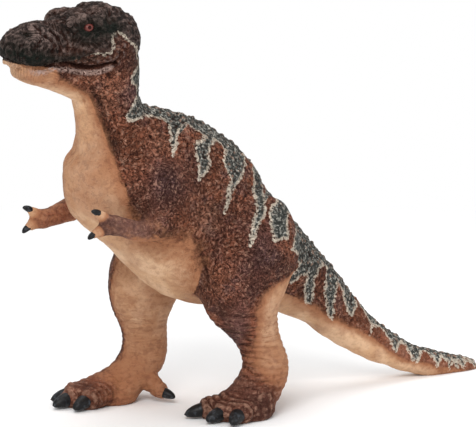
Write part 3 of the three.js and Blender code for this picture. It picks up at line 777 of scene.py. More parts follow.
SADDLE = (
    Outline(
        ((-52.8, -11.1, 133.1), (-49.8, -11.4, 132.1), (-46.9, -12.1, 133.0), (-46.5, -12.4, 135.5),
         (-46.6, -11.9, 138.6), (-45.0, -11.5, 139.8), (-42.7, -11.8, 138.9), (-41.3, -12.0, 137.4),
         (-38.6, -11.5, 135.3), (-37.1, -10.9, 134.3), (-35.1, -8.9, 131.7), (-32.6, -5.7, 126.6),
         (-35.2, -8.1, 124.5), (-38.0, -9.6, 122.2), (-35.9, -8.7, 119.7), (-33.8, -7.2, 117.8),
         (-35.1, -8.3, 115.2), (-35.9, -8.9, 114.0), (-38.2, -10.1, 112.0), (-40.3, -10.7, 109.9),
         (-40.2, -11.0, 108.2), (-37.5, -10.9, 107.7), (-34.8, -10.1, 108.1), (-31.4, -8.2, 108.6),
         (-27.5, -6.0, 107.5), (-23.0, -5.0, 105.5), (-20.8, -5.3, 103.0), (-22.3, -9.6, 101.1),
         (-24.6, -14.9, 98.1), (-25.8, -17.9, 95.6), (-23.3, -15.4, 98.2), (-20.9, -11.9, 100.8),
         (-18.2, -10.0, 102.8), (-16.2, -9.6, 104.3), (-13.7, -10.4, 102.9), (-10.6, -10.7, 100.6),
         (-8.3, -11.0, 98.9), (-12.1, -13.5, 98.1), (-15.7, -15.3, 97.2), (-16.1, -16.9, 94.5),
         (-15.4, -18.1, 91.7), (-17.0, -20.5, 86.1), (-12.9, -19.0, 88.5), (-10.5, -17.3, 91.0),
         (-10.8, -15.8, 93.8), (-8.8, -13.8, 95.9), (-4.7, -10.2, 97.6), (-2.1, -10.1, 96.0),
         (-0.6, -11.5, 93.5), (-4.0, -15.5, 90.5), (-3.3, -17.3, 86.7), (-2.3, -18.2, 84.2),
         (-4.9, -20.2, 80.8), (-8.0, -22.5, 73.2), (-3.2, -19.7, 81.0), (1.0, -17.4, 83.2),
         (5.0, -14.1, 85.7), (8.2, -9.2, 88.6), (9.5, -5.7, 90.0)),
        ((10.5, 94.0), (9.5, 150.0), (-90.0, 160.0), (-95.0, 133.0), (-83.0, 132.0), (-80.0, 131.1),
         (-77.0, 130.1), (-73.4, 129.4), (-70.3, 129.3), (-66.0, 130.3), (-61.0, 130.6)),
    ),
    Outline(
        ((12.2, -4.4, 87.9), (12.8, -5.4, 86.7), (10.9, -10.5, 84.5), (10.0, -13.5, 81.5), (7.2, -17.2, 78.9),
         (4.8, -23.0, 76.6), (3.4, -26.1, 73.7), (1.5, -27.0, 70.5), (-2.0, -30.1, 62.0), (3.4, -27.8, 70.4),
         (5.7, -27.4, 72.6), (7.3, -24.0, 76.5), (14.4, -11.3, 78.2), (16.6, -6.2, 79.9), (17.2, -3.0, 81.5)),
        ((19.5, 86.0), (13.5, 93.0)),
    ),
    Outline(
        ((21.0, -3.0, 77.3), (17.5, -11.0, 77.0), (12.4, -24.3, 75.6), (8.9, -26.5, 74.4), (7.6, -27.6, 72.4),
         (7.5, -29.4, 67.9), (7.3, -31.0, 63.8), (10.3, -30.7, 64.0), (13.7, -29.7, 64.0),
         (14.5, -27.9, 68.2), (15.6, -26.0, 71.2), (19.0, -17.0, 71.5), (25.0, -3.0, 70.5)),
        ((29.0, 76.0), (23.0, 84.0)),
    ),
    Outline(
        ((29.0, -2.5, 66.5), (27.5, -8.5, 64.0), (20.0, -24.9, 65.1), (17.5, -28.1, 63.0),
         (15.1, -30.4, 59.5), (20.4, -26.4, 56.5), (28.0, -14.2, 50.2), (25.6, -14.8, 47.0),
         (12.3, -30.3, 47.8), (9.4, -31.0, 45.3), (12.4, -29.0, 44.7), (24.5, -14.3, 43.4),
         (28.1, -14.1, 45.8), (32.3, -12.9, 45.6), (30.9, -12.9, 41.8), (31.2, -11.8, 38.0),
         (32.8, -10.1, 34.4), (34.7, -9.9, 33.9), (34.7, -11.5, 38.1), (34.8, -12.1, 42.5),
         (37.1, -10.9, 46.2), (40.3, -8.5, 47.8), (42.6, -7.9, 45.7), (40.6, -10.3, 41.5),
         (40.2, -10.5, 37.3), (41.8, -9.5, 32.7), (43.3, -8.1, 28.0), (44.9, -7.7, 26.3), (44.7, -9.2, 32.3),
         (45.4, -9.2, 36.5), (46.7, -8.0, 39.7), (48.6, -7.3, 38.6), (50.0, -7.2, 36.2), (50.3, -8.0, 32.7),
         (51.1, -8.1, 29.0), (52.8, -7.7, 27.5), (55.5, -6.1, 29.9), (56.6, -4.4, 31.2)),
        ((60.0, 36.0), (50.0, 55.0), (34.0, 74.0)),
    ),
    Outline(
        ((59.0, -2.5, 30.0), (60.0, -4.4, 27.2), (61.6, -4.8, 24.8), (62.6, -5.2, 23.0), (61.4, -6.6, 19.3),
         (63.1, -5.4, 22.1), (67.2, -3.7, 20.7), (69.6, -4.1, 18.3), (70.9, -5.0, 15.6), (71.8, -5.4, 12.8),
         (73.0, -5.3, 11.1), (74.3, -4.7, 13.3), (76.3, -3.5, 14.1), (78.4, -3.5, 12.6), (78.9, -4.6, 10.0),
         (80.0, -4.6, 7.4), (82.0, -4.5, 6.4), (83.3, -4.3, 7.5), (84.6, -3.1, 9.5), (86.9, -2.4, 9.3),
         (88.5, -3.2, 7.7), (89.8, -3.7, 5.8), (90.6, -3.7, 3.4), (92.1, -3.5, 5.5), (93.0, -2.8, 6.5),
         (95.0, -3.1, 5.1), (96.0, -3.1, 2.2), (97.9, -2.4, 5.1), (99.7, -2.7, 1.7), (99.6, -2.4, 4.4),
         (102.7, -2.5, 1.7), (102.8, -1.9, 4.0), (105.8, -1.8, 2.8), (108.5, -0.7, 0.9)),
        ((113.0, 6.0), (95.0, 16.0), (80.0, 24.0), (62.0, 38.0)),
    ),
)

BELLY = (
    Outline(
        ((-67.5, -6.0, 125.0), (-63.3, -6.6, 123.3), (-58.1, -7.4, 120.6), (-54.6, -7.6, 118.8),
         (-52.4, -7.4, 116.2), (-50.7, -8.0, 111.7), (-49.0, -8.8, 107.4), (-47.3, -10.2, 101.1),
         (-46.8, -11.6, 97.1), (-46.3, -13.6, 92.9), (-45.2, -15.8, 87.7), (-43.8, -16.6, 81.4),
         (-42.7, -17.4, 78.5), (-41.0, -18.2, 72.0), (-35.0, -20.8, 68.0), (-27.0, -22.0, 67.5),
         (-21.0, -22.4, 66.0), (-17.6, -22.4, 62.5), (-15.5, -22.6, 57.0), (-16.0, -23.0, 50.0),
         (-15.5, -22.8, 43.0)),
        ((-13.0, 30.0), (-60.0, 30.0), (-75.0, 100.0), (-90.0, 122.0), (-90.0, 132.5), (-82.0, 131.2),
         (-77.0, 130.0), (-73.4, 129.3), (-70.0, 129.0)),
    ),
    Outline(
        ((2.8, -33.2, 51.5), (5.7, -32.3, 46.0), (12.6, -28.5, 43.9), (30.4, -11.0, 36.2), (37.3, -9.2, 32.2),
         (45.3, -8.2, 27.4), (52.0, -7.5, 22.9), (61.2, -6.6, 19.0), (71.0, -5.4, 12.4), (78.0, -4.7, 9.0),
         (85.0, -4.2, 7.0), (92.0, -3.6, 4.6), (99.0, -2.7, 3.2), (108.5, -1.0, 1.6)),
        ((113.0, -5.0), (0.0, -5.0), (-1.0, 44.0)),
    ),
)

# painted shadow along the groove of the neck fold, which joins the dark mask
NECK_FOLD_SHADOW = (
    (-51.7, -7.6, 116.4), (-49.8, -8.4, 111.7), (-47.8, -9.2, 107.4), (-46.2, -10.6, 101.1),
    (-45.5, -12.1, 97.8)
)


class Paint:
    """Where each colour goes on the hide, as one number a point for each."""

    dark_spots = (
        Spot((-54.5, -10.5, 140.6), (8.5, 4.5, 5.4)),
        Spot((-45.5, -12.0, 142.0), (3.5, 4.0, 3.5)),
        Spot((-81.0, -4.0, 134.5), (6.5, 7.0, 4.6)),
        Spot((-73.5, -6.5, 132.0), (6.0, 5.0, 3.2)),
        Spot((-60.0, -8.0, 131.6), (8.0, 5.0, 1.5)),
        Spot((-76.4, -4.8, 140.6), (1.5, 2.0, 1.2)),
        Spot((-35.0, -3.0, 127.0), (2.5, 4.0, 5.0)),
    )
    blush_spots = (
        Spot((-46.0, -11.5, 129.0), (5.5, 6.0, 6.0)),
        Spot((-24.0, -22.0, 72.0), (7.0, 10.0, 6.5)),
        Spot((-38.0, -14.0, 92.0), (3.5, 8.0, 12.0)),
        Spot((-26.0, -16.0, 98.0), (7.0, 8.0, 5.0)),
        Spot((-42.0, -10.0, 103.0), (6.0, 8.0, 9.0)),
        Spot((-56.0, -7.0, 123.0), (7.0, 6.0, 4.0)),
        Spot((-61.0, -8.0, 134.0), (8.0, 6.0, 3.4)),
        Spot((-57.0, -6.0, 149.5), (7.0, 7.0, 4.0)),
        Spot((-66.0, -7.0, 144.5), (4.0, 5.0, 2.5)),
        Spot((4.0, -29.0, 36.0), (8.0, 9.0, 7.0)),
        Spot((-6.0, -26.0, 62.0), (7.0, 9.0, 8.0)),
        Spot((60.0, -8.0, 22.0), (16.0, 8.0, 8.0)),
        Spot((85.0, -4.0, 6.0), (22.0, 8.0, 6.0)),
    )
    shade_spots = (
        Spot((-50.5, -9.0, 95.0), (10.0, 11.0, 15.0)),
        Spot((-51.0, -7.0, 84.0), (9.0, 10.0, 9.0)),
        Spot((-40.0, -14.0, 68.0), (6.0, 9.0, 5.0)),
        Spot((-73.0, -5.0, 126.5), (13.0, 9.0, 6.5)),
        Spot((98.0, -3.0, 3.0), (14.0, 6.0, 6.0)),
        Spot((-32.0, -20.0, 67.0), (10.0, 10.0, 4.0)),
        Spot((20.0, -20.0, 38.0), (12.0, 14.0, 6.0)),
    )
    mauve_spots = (
        Spot((-31.0, -18.0, 87.0), (8.0, 12.0, 9.0)),
        Spot((-71.0, -5.0, 140.5), (8.0, 7.0, 3.6)),
        Spot((-56.0, -7.0, 149.0), (8.0, 7.0, 4.0)),
        Spot((-37.0, -11.0, 116.0), (5.0, 8.0, 8.0)),
        Spot((0.0, -32.0, 60.0), (9.0, 14.0, 9.0)),
        Spot((1.0, -31.0, 5.0), (5.0, 5.0, 5.0)),
        Spot((-5.0, -30.0, 30.0), (6.0, 12.0, 16.0)),
    )

    def __init__(self, carving: Carving) -> None:
        """Keeps the hide after the carving is done."""
        self.hide = carving.hide
        self.shares = carving.shares
        self.normals = self.hide.normals()
        self.folded = folded(self.hide.points)
        self.folded_normals = self.normals.copy()
        self.folded_normals[:, 1] *= -np.sign(self.hide.points[:, 1] + 1e-9)

    def from_line(self, line: tuple[Point, ...], reach: float) -> np.ndarray:
        """How far each point is from a line along the hide, at most the reach."""
        return distance_to_path(self.folded, np.array(line), reach, self.folded_normals)

    def inside(self, outlines: tuple[Outline, ...], reach: float) -> np.ndarray:
        """How deep each point is inside any outline, below 0 outside, at most the reach either way."""
        flat = self.folded[:, [0, 2]]
        held = np.zeros(len(flat), bool)
        away = np.full(len(flat), reach)
        for outline in outlines:
            held |= inside_outline(flat, outline.area())
            away = np.minimum(away, self.from_line(outline.line, reach))
        return np.where(held, away, -away)

    def spots(self, spots: tuple[Spot, ...]) -> np.ndarray:
        """The paint of several spots together."""
        return np.clip(sum(spot.amount(self.hide.points) for spot in spots), 0, 1)

    def tanned(self) -> np.ndarray:
        """How tan each point of a leg is, from 0 on the dark front to 1 at the back."""
        x, y, z = self.hide.points.T
        near = y < 0
        ahead = np.where(near, 0.0, 26.0 - 24.0 * ramp(z, 8, 60))  # the far leg stands further forward
        bound = np.where(near, 1.5 + 15.0 * ramp(z, 43, 54), 6.0 + 16.0 * ramp(z, 40, 52))
        back = x + ahead - bound + 2.5 * drift(self.hide.points, 6.0)
        inner = np.where(near, self.normals[:, 1] - 0.6, -self.normals[:, 1])
        shin = np.clip(ramp(back, -7.0, 6.0) + ramp(inner, -0.35, 0.35), 0, 1)
        foot = np.where(near, 0.1 + 0.4 * ramp(x, 3, 13), 0.18 + 0.5 * ramp(x, -45, -24))
        return shin + (foot - shin) * ANKLE.share(self.hide.points)

    def tan(self, thigh: np.ndarray, tanned: np.ndarray) -> np.ndarray:
        """How deep each point is in the tan of the underside.

        Args:
            thigh: How much each point is part of a leg from the thigh down.
            tanned: How tan each point would be on a leg.

        Returns:
            A depth in millimetres at each point, below 0 outside the tan.
        """
        points = self.hide.points
        flank = FLANK.share(points) * (1 - both(self.shares, "leg"))
        tan = self.inside(BELLY, 22.0) * (1 - 0.7 * flank) - 0.3 * flank
        tan = tan * (1 - thigh) + (tanned - 0.5) * 7 * thigh
        tan *= 1 + 1.2 * TAIL_SIDES.share(points)
        tan += 0.9 * TAIL_MIDDLE.share(points) - 4.6 * TAIL_STAIN.share(points)
        hands = LIMBS["left_hand_claws"].claws() + LIMBS["right_hand_claws"].claws()
        fingers = np.min([distance_to_path(points, claw.axis()[:2], 6.0) for claw in hands], axis=0)
        under = ramp(self.normals[:, 2], -0.2, -0.8) * PALM.share(points)
        hand = np.maximum(4.6 * ramp(fingers, 3.6, 1.2), 2.2 * under) - 1.4 + 0.8 * (points[:, 1] > 0)
        held = ramp(both(self.shares, "arm"), 0.3, 0.7) * WRIST.share(points)
        tan = tan * (1 - held) + hand * held
        crotch = ramp(np.abs(points[:, 1]), 17, 10) * CROTCH.share(points)
        chin = self.shares["lower_jaw"] * CHIN.share(points)
        return np.max([tan, 6 * crotch - 3, 7 * chin - 3], axis=0)

    def masks(self) -> dict[str, np.ndarray]:
        """Every mask by name."""
        points, legs = self.hide.points, both(self.shares, "leg")
        near = points[:, 1] < 0
        thigh = legs * ramp(points[:, 2], np.where(near, 60.0, 68.0), 46)
        tanned = self.tanned()
        tan = self.tan(thigh, tanned)
        skull = np.clip(self.shares["head"] + self.shares["lower_jaw"], 0, 1) * SKULL_PAINT.share(points)
        mouth = ramp(distance_to_path(self.folded, np.array(LIP), 4.0), 1.3, 0.5)
        inner = np.where(near, self.normals[:, 1], -self.normals[:, 1])
        fold_shadow = ramp(self.from_line(NECK_FOLD_SHADOW, 6.0), 2.6, 1.2) * (tan < 0.6)
        forearm = both(self.shares, "arm") * FOREARM.share(points)
        tail = 0.9 * TAIL.share(points)
        shin = legs * SHIN.share(points)
        blush = forearm * ramp(inner, 0.0, 0.5) + 0.9 * tail + 0.9 * thigh * ramp(tanned, 0.02, 0.35)
        shade = legs * (0.28 + 0.6 * SHIN_SHADE.share(points))
        return {
            "saddle": self.inside(SADDLE, 6.0) - 12.0 * thigh * HIP.share(points),
            "tan": tan,
            "skull": skull,
            "mouth": mouth * LIP_SPAN.share(points),
            # half the painted shadow of the neck fold goes into the dark mask
            "dark": self.spots(self.dark_spots) * (tan < 0.5) + 0.5 * fold_shadow,
            "blush": np.clip(self.spots(self.blush_spots) + blush, 0, 1),
            "mauve": self.spots(self.mauve_spots),
            "arm": forearm,
            "calm": np.max([shin, forearm, tail], axis=0),
            "shade": np.clip(self.spots(self.shade_spots) + shade, 0, 1),
            "leg": shin,
            "foot": legs * FOOT.share(points),
        }


class Pieces:
    """The hide cut into the pieces that the toy is glued together from."""

    def __init__(self, hide: Hide, shares: dict[str, np.ndarray], masks: dict[str, np.ndarray]) -> None:
        """Keeps the finished hide.

        Args:
            hide: The carved hide.
            shares: How much of each point belongs to each CAD node.
            masks: The paint's masks, one number a point each.
        """
        self.hide = hide
        self.names = sorted(shares)
        self.masks = masks
        flat = np.empty(len(hide.mesh.polygons) * 4, np.int64)
        hide.mesh.polygons.foreach_get("vertices", flat)
        self.quads = flat.reshape(-1, 4)
        weights = np.stack([hide.spread(shares[name], 3) for name in self.names])
        self.owners = weights[:, self.quads].sum(axis=2).argmax(axis=0)
        self.normals = hide.normals()

    @staticmethod
    def rims(quads: np.ndarray) -> list[list[int]]:
        """The closed rims of an open patch of faces, each as points in the order its faces run."""
        sides = {(int(a), int(b)) for quad in quads for a, b in zip(quad, np.roll(quad, -1))}
        onwards: dict[int, list[int]] = {}
        for a, b in sides:
            if (b, a) not in sides:
                onwards.setdefault(a, []).append(b)
        rims = []
        while onwards:
            start = at = min(onwards)
            rim = []
            while not rim or at != start:
                rim.append(at)
                following = onwards[at].pop()
                if not onwards[at]:
                    del onwards[at]
                at = following
            rims.append(rim)
        return rims

    def cut(self, index: int) -> bpy.types.Object:
        """One piece, closed where it is glued to the next.

        Args:
            index: Which of the names the piece belongs to.

        Returns:
            The piece, with the masks as its attributes.
        """
        used, packed = np.unique(self.quads[self.owners == index], return_inverse=True)
        packed = packed.reshape(-1, 4)
        points = list(self.hide.points[used])
        faces = [tuple(int(i) for i in quad) for quad in packed]
        outer = len(faces) * 4
        for rim in self.rims(packed):
            middle = len(points)
            points.append(np.mean([points[i] for i in rim], axis=0))
            faces += [(b, a, middle) for a, b in zip(rim, rim[1:] + rim[:1])]
        mesh = bpy.data.meshes.new(self.names[index])
        places = (np.array(points) + self.hide.origin) * MM
        mesh.from_pydata(places.tolist(), [], faces)
        normals = np.zeros((len(mesh.loops), 3))
        corners = np.empty(len(mesh.loops), np.int64)
        mesh.loops.foreach_get("vertex_index", corners)
        normals[:outer] = self.normals[used][corners[:outer]]
        for name, mask in self.masks.items():
            keep_numbers(mesh, name, np.r_[mask[used], np.zeros(len(points) - len(used))])
        shade_smooth(mesh)
        mesh.normals_split_custom_set(normals.tolist())
        return link(f"{self.names[index]}_hide", mesh)

    def make(self) -> dict[str, bpy.types.Object]:
        """Every piece, by the CAD node it stands for."""
        return {name: self.cut(index) for index, name in enumerate(self.names)}


WHITE = (1.0, 1.0, 1.0, 1.0)


def paint_colour(red: int, green: int, blue: int) -> tuple[float, float, float, float]:
    """A colour as a paint chart gives it, from 0 to 255, in the renderer's linear values."""
    linear = [
        share / 12.92 if share <= 0.04045 else ((share + 0.055) / 1.055) ** 2.4
        for share in (red / 255, green / 255, blue / 255)
    ]
    return (*linear, 1.0)


class Signal:
    """A number that varies over a surface, which ordinary arithmetic works on."""

    def __init__(self, nodes: "Nodes", socket: bpy.types.NodeSocket) -> None:
        """Wraps a node's output."""
        self.nodes = nodes
        self.socket = socket

    def __add__(self, other: object) -> "Signal":
        """The sum with a number or another signal."""
        return self.nodes.math("ADD", self, other)

    def __sub__(self, other: object) -> "Signal":
        """What is left after taking a number or another signal away."""
        return self.nodes.math("SUBTRACT", self, other)

    def __rsub__(self, other: float) -> "Signal":
        """What is left of a plain number."""
        return self.nodes.math("SUBTRACT", other, self)

    def __mul__(self, other: object) -> "Signal":
        """The product with a number or another signal."""
        return self.nodes.math("MULTIPLY", self, other)

    def __abs__(self) -> "Signal":
        """The same without its sign."""
        return self.nodes.math("ABSOLUTE", self)

    def ramp(self, low: float, high: float) -> "Signal":
        """A smooth rise from 0 at low to 1 at high, or a fall where low is the greater."""
        inputs = {"Value": self, "From Min": low, "From Max": high}
        node = self.nodes.add("ShaderNodeMapRange", inputs, interpolation_type="SMOOTHSTEP")
        return Signal(self.nodes, node.outputs[0])


class Nodes:
    """A material's nodes, written as short expressions."""

    def __init__(self, tree: bpy.types.NodeTree) -> None:
        """Starts with an empty tree."""
        self.tree = tree
        tree.nodes.clear()

    def add(self, kind: str, inputs: dict | None = None, **settings: object) -> bpy.types.Node:
        """One node.

        Args:
            kind: The node's type.
            inputs: What goes into its sockets: a value, a signal, or a socket to link from.
            settings: Its own settings.

        Returns:
            The node.
        """
        node = self.tree.nodes.new(kind)
        for key, value in settings.items():
            setattr(node, key, value)
        for key, value in (inputs or {}).items():
            value = value.socket if isinstance(value, Signal) else value
            if isinstance(value, bpy.types.NodeSocket):
                self.tree.links.new(value, node.inputs[key])
            else:
                node.inputs[key].default_value = value
        return node

    def math(self, operation: str, *values: object) -> Signal:
        """Arithmetic on numbers."""
        node = self.add("ShaderNodeMath", dict(enumerate(values)), operation=operation)
        return Signal(self, node.outputs[0])

    def coats(self, base: object, *coats: tuple[object, object]) -> bpy.types.NodeSocket:
        """A colour with others laid over it in turn.

        Args:
            base: The lowest colour, as a paint or as a socket.
            coats: Each colour over it, with the share of it that shows.

        Returns:
            The colour as a socket.
        """
        for over, share in coats:
            under, over = (paint_colour(*c) if isinstance(c, tuple) else c for c in (base, over))
            base = self.add("ShaderNodeMix", {0: share, 6: under, 7: over}, data_type="RGBA").outputs[2]
        return base

    def place(self) -> bpy.types.NodeSocket:
        """Where a point of the surface is in its object."""
        return self.add("ShaderNodeTexCoord").outputs["Object"]

    def mask(self, name: str) -> Signal:
        """One of the piece's own attributes."""
        return Signal(self, self.add("ShaderNodeAttribute", attribute_name=name).outputs["Fac"])

    def noise(self, place: object, per_metre: float, detail: float = 3.0, **others: float) -> Signal:
        """A soft random field."""
        inputs = {"Vector": place, "Scale": per_metre, "Detail": detail, "Roughness": 0.6, **others}
        return Signal(self, self.add("ShaderNodeTexNoise", inputs).outputs[0])

    def cells(self, place: object, per_metre: float, feature: str = "F1") -> Signal:
        """The distance inside pebble-like cells."""
        node = self.add("ShaderNodeTexVoronoi", {"Vector": place, "Scale": per_metre}, feature=feature)
        return Signal(self, node.outputs["Distance"])


@dataclass(frozen=True)
class Finish:
    """How a surface shines, and how deep its relief is."""

    roughness: float
    specular: float
    relief: float  # how far its bumps reach, in millimetres
    strength: float = 1.0

    def apply(self, nodes: Nodes, colour: object, uneven: Signal, height: Signal) -> None:
        """Makes the surface.

        Args:
            nodes: The material's nodes.
            colour: Its colour.
            uneven: What is added to the roughness from place to place.
            height: The relief, as a share of how far its bumps reach.
        """
        inputs = {"Strength": self.strength, "Distance": self.relief * MM, "Height": height}
        bump = nodes.add("ShaderNodeBump", inputs).outputs[0]
        inputs = {"Base Color": colour, "Roughness": uneven + self.roughness, "Normal": bump}
        shader = nodes.add("ShaderNodeBsdfPrincipled", {**inputs, "Specular IOR Level": self.specular})
        nodes.add("ShaderNodeOutputMaterial", {"Surface": shader.outputs[0]})


def new_material(name: str) -> tuple[bpy.types.Material, Nodes]:
    """A material and its empty node tree."""
    material = bpy.data.materials.new(name)
    material.use_nodes = True
    return material, Nodes(material.node_tree)


class HideTextures:
    """The random fields and the masks that the coats of the hide share."""

    pebbles_per_metre = 850.0
    bend = 0.0016  # metres

    def __init__(self, nodes: Nodes) -> None:
        """Lays the fields out, from the broadest to the finest."""
        place = nodes.place()
        self.tone = nodes.noise(place, 52.0, 2.0)
        self.patches = nodes.noise(place, 70.0)
        self.wander = nodes.noise(place, 160.0)
        self.dabs = nodes.noise(place, 480.0, 4.0)
        self.specks = nodes.noise(place, 1000.0)
        self.fine = nodes.noise(place, 2400.0)
        self.streaks = nodes.noise(
            nodes.add("ShaderNodeMapping", {"Vector": place, "Scale": (120.0, 120.0, 780.0)}).outputs[0], 1.0
        )
        bends = nodes.add("ShaderNodeTexNoise", {"Vector": place, "Scale": 600.0}).outputs["Color"]
        inputs = {0: bends, 1: (self.bend,) * 3, 2: place}
        bent = nodes.add("ShaderNodeVectorMath", inputs, operation="MULTIPLY_ADD").outputs[0]
        self.pebble = nodes.cells(bent, self.pebbles_per_metre)
        self.edge = nodes.cells(bent, self.pebbles_per_metre, "DISTANCE_TO_EDGE")
        folds = nodes.math("SINE", nodes.noise(place, 110.0, 0.0) * 84.0)
        self.swirl = folds * 0.5 + 0.5 + (self.dabs - 0.5) * 1.8
        self.curl = abs(nodes.noise(place, 330.0, 2.0, Roughness=0.5, Distortion=2.4) - 0.5)
        masks = ("hollow", "skull", "mouth", "dark", "blush", "mauve", "arm", "calm", "shade", "leg", "foot")
        self.masks = {name: nodes.mask(name) for name in masks}
        self.rim = nodes.mask("saddle") + (self.dabs - 0.5) * 2.6 + (self.specks - 0.5) * 1.6
        depth = nodes.mask("tan") + (self.dabs - 0.5) * 3.0 + (self.wander - 0.5) * 4.0
        self.deep, self.below = depth.ramp(0.4, 5.5), depth.ramp(-1.6, 1.0)
        # the low points of the fine relief, darkened in the coats: a dark wash with painted shade
        pits_wash_and_shade = nodes.math("MAXIMUM", self.specks.ramp(0.49, 0.38), self.edge.ramp(0.12, 0.02) * 0.4)
        self.pits_wash_and_shade = nodes.math("MAXIMUM", pits_wash_and_shade, self.curl.ramp(0.06, 0.0) * 0.85)
        # the grooves of the leg creases, darkened in the coats: a dark wash with painted shade
        self.creased = self.streaks.ramp(0.54, 0.42) * (self.masks["leg"] - self.masks["foot"] * 0.5)


@dataclass(frozen=True)
class HidePaint:
    """The paints of the hide and how its surface takes them."""

    brown: Colour = (112, 68, 52)
    mauve: Colour = (96, 72, 74)
    blush: Colour = (144, 86, 62)
    # dark for the low points and creases: a dark wash there with painted shade, also used for a random darker
    # tone
    crevice_wash_and_shade: Colour = (46, 22, 15)
    # pale for the crests and raised specks: dry-brush paint with a painted highlight, also used for a random
    # lighter tone
    highlight_and_dry_brush: Colour = (184, 142, 120)
    tan: Colour = (202, 161, 125)
    tan_light: Colour = (222, 187, 154)
    tan_shade: Colour = (154, 104, 74)
    saddle: Colour = (76, 78, 74)
    saddle_light: Colour = (176, 173, 164)
    skull: Colour = (58, 47, 43)
    skull_light: Colour = (134, 113, 106)
    cheek: Colour = (76, 46, 38)
    cream: Colour = (208, 194, 176)
    near_black: Colour = (20, 17, 15)
    eye_socket: Colour = (26, 30, 25)
    lip: Colour = (172, 144, 134)
    arm: Colour = (112, 80, 72)
    foot: Colour = (98, 62, 52)
    cream_half_width: float = 0.72
    finish: Finish = Finish(0.6, 0.08, 0.8)

    def body(self, nodes: Nodes, fields: HideTextures) -> bpy.types.NodeSocket:
        """The brown of the flanks, thighs, arms and feet."""
        f, masks = fields, fields.masks
        # raised specks and curls of the relief made paler: dry-brush paint with a painted highlight
        highlight_and_wear = nodes.math(
            "MAXIMUM",
            f.specks.ramp(0.54, 0.66) * f.wander.ramp(0.35, 0.6),
            f.curl.ramp(0.1, 0.18) * f.dabs.ramp(0.45, 0.6),
        )
        return nodes.coats(
            self.brown,
            (self.blush, f.patches.ramp(0.42, 0.62)),
            (self.mauve, f.wander.ramp(0.5, 0.68) * 0.6),
            (self.mauve, masks["mauve"] * 0.95),
            (self.arm, masks["arm"] * 0.8),
            (self.foot, masks["foot"] * 0.8),
            (self.blush, masks["blush"] * 0.8),
            (self.cheek, masks["skull"] * 0.8),
            (self.crevice_wash_and_shade, f.tone.ramp(0.5, 0.36) * 0.4),
            (self.highlight_and_dry_brush, f.tone.ramp(0.52, 0.66) * 0.14),
            # the low points of the relief darkened: a dark wash with painted shade
            (self.crevice_wash_and_shade, f.pits_wash_and_shade * (1.0 - masks["calm"] * 0.65) * 0.92),
            # the raised specks made paler: dry-brush paint with a painted highlight
            (self.highlight_and_dry_brush, highlight_and_wear * (0.42 - masks["calm"] * 0.15)),
            # the leg creases darkened: a dark wash with painted shade
            (self.crevice_wash_and_shade, f.creased * 0.7),
        )

    def back(self, nodes: Nodes, fields: HideTextures) -> bpy.types.NodeSocket:
        """The dark of the back and of the head."""
        f, masks = fields, fields.masks
        # raised swirls of the skull made paler, along with the mauve patches: dry-brush paint with a painted
        # highlight
        pale = f.swirl.ramp(0.5, 1.0) * 0.32 + masks["mauve"] * 0.75
        skull = nodes.coats(
            self.skull,
            (self.skull_light, pale * f.dabs.ramp(0.25, 0.55)),
            # the low swirls blackened: a dark wash with painted shade
            (self.near_black, f.swirl.ramp(0.34, 0.06) * f.wander.ramp(0.62, 0.45) * 0.75),
            (self.brown, masks["blush"] * f.dabs.ramp(0.3, 0.6) * 0.7),
            (self.near_black, f.tone.ramp(0.5, 0.38) * 0.5),
        )
        return nodes.coats(
            self.saddle,
            # the raised specks of the saddle made paler: dry-brush paint with a painted highlight
            (self.saddle_light, f.specks.ramp(0.5, 0.62)),
            (skull, masks["skull"]),
            # the low points of the relief blackened: a dark wash with painted shade
            (self.near_black, f.pits_wash_and_shade * (0.6 - masks["skull"] * 0.05)),
        )

    def underside(self, nodes: Nodes, fields: HideTextures) -> bpy.types.NodeSocket:
        """The tan of the throat, the belly, the shins and the tail's underside."""
        f, shade = fields, fields.masks["shade"]
        return nodes.coats(
            self.tan_shade,
            (self.tan, f.deep),
            (self.tan_light, f.patches.ramp(0.54, 0.4) * f.deep * 0.7),
            (self.tan_shade, f.wander.ramp(0.52, 0.7) * 0.4),
            (self.tan_shade, shade * f.dabs.ramp(0.05, 0.6) * 0.7),
            (self.tan_shade, f.tone.ramp(0.5, 0.38) * 0.35),
            (self.brown, (shade * 0.3 + 0.1) * f.dabs.ramp(0.48, 0.4)),
            # the low points and leg creases browned: a dark wash with painted shade
            (self.brown, f.specks.ramp(0.47, 0.35) * 0.16),
            (self.brown, f.creased * 0.16),
        )

    def colour(self, nodes: Nodes, fields: HideTextures) -> bpy.types.NodeSocket:
        """All the coats together, with a dark wash and painted shade in the creases, and dry-brush paint with
        a painted highlight on the crests.
        """
        f, masks = fields, fields.masks
        skull, crease_wash_and_shade = masks["skull"], masks["hollow"].ramp(0.08, 0.7)
        sunk = nodes.math("MAXIMUM", f.below, masks["foot"] * 0.5) * 0.65
        # the crests of the hide made paler: dry-brush paint with a painted highlight
        highlight_and_wear = masks["hollow"].ramp(-0.15, -0.75) * f.dabs.ramp(0.35, 0.6)
        line = abs(f.rim).ramp(self.cream_half_width, 0.5 * self.cream_half_width) * f.specks.ramp(0.38, 0.5)
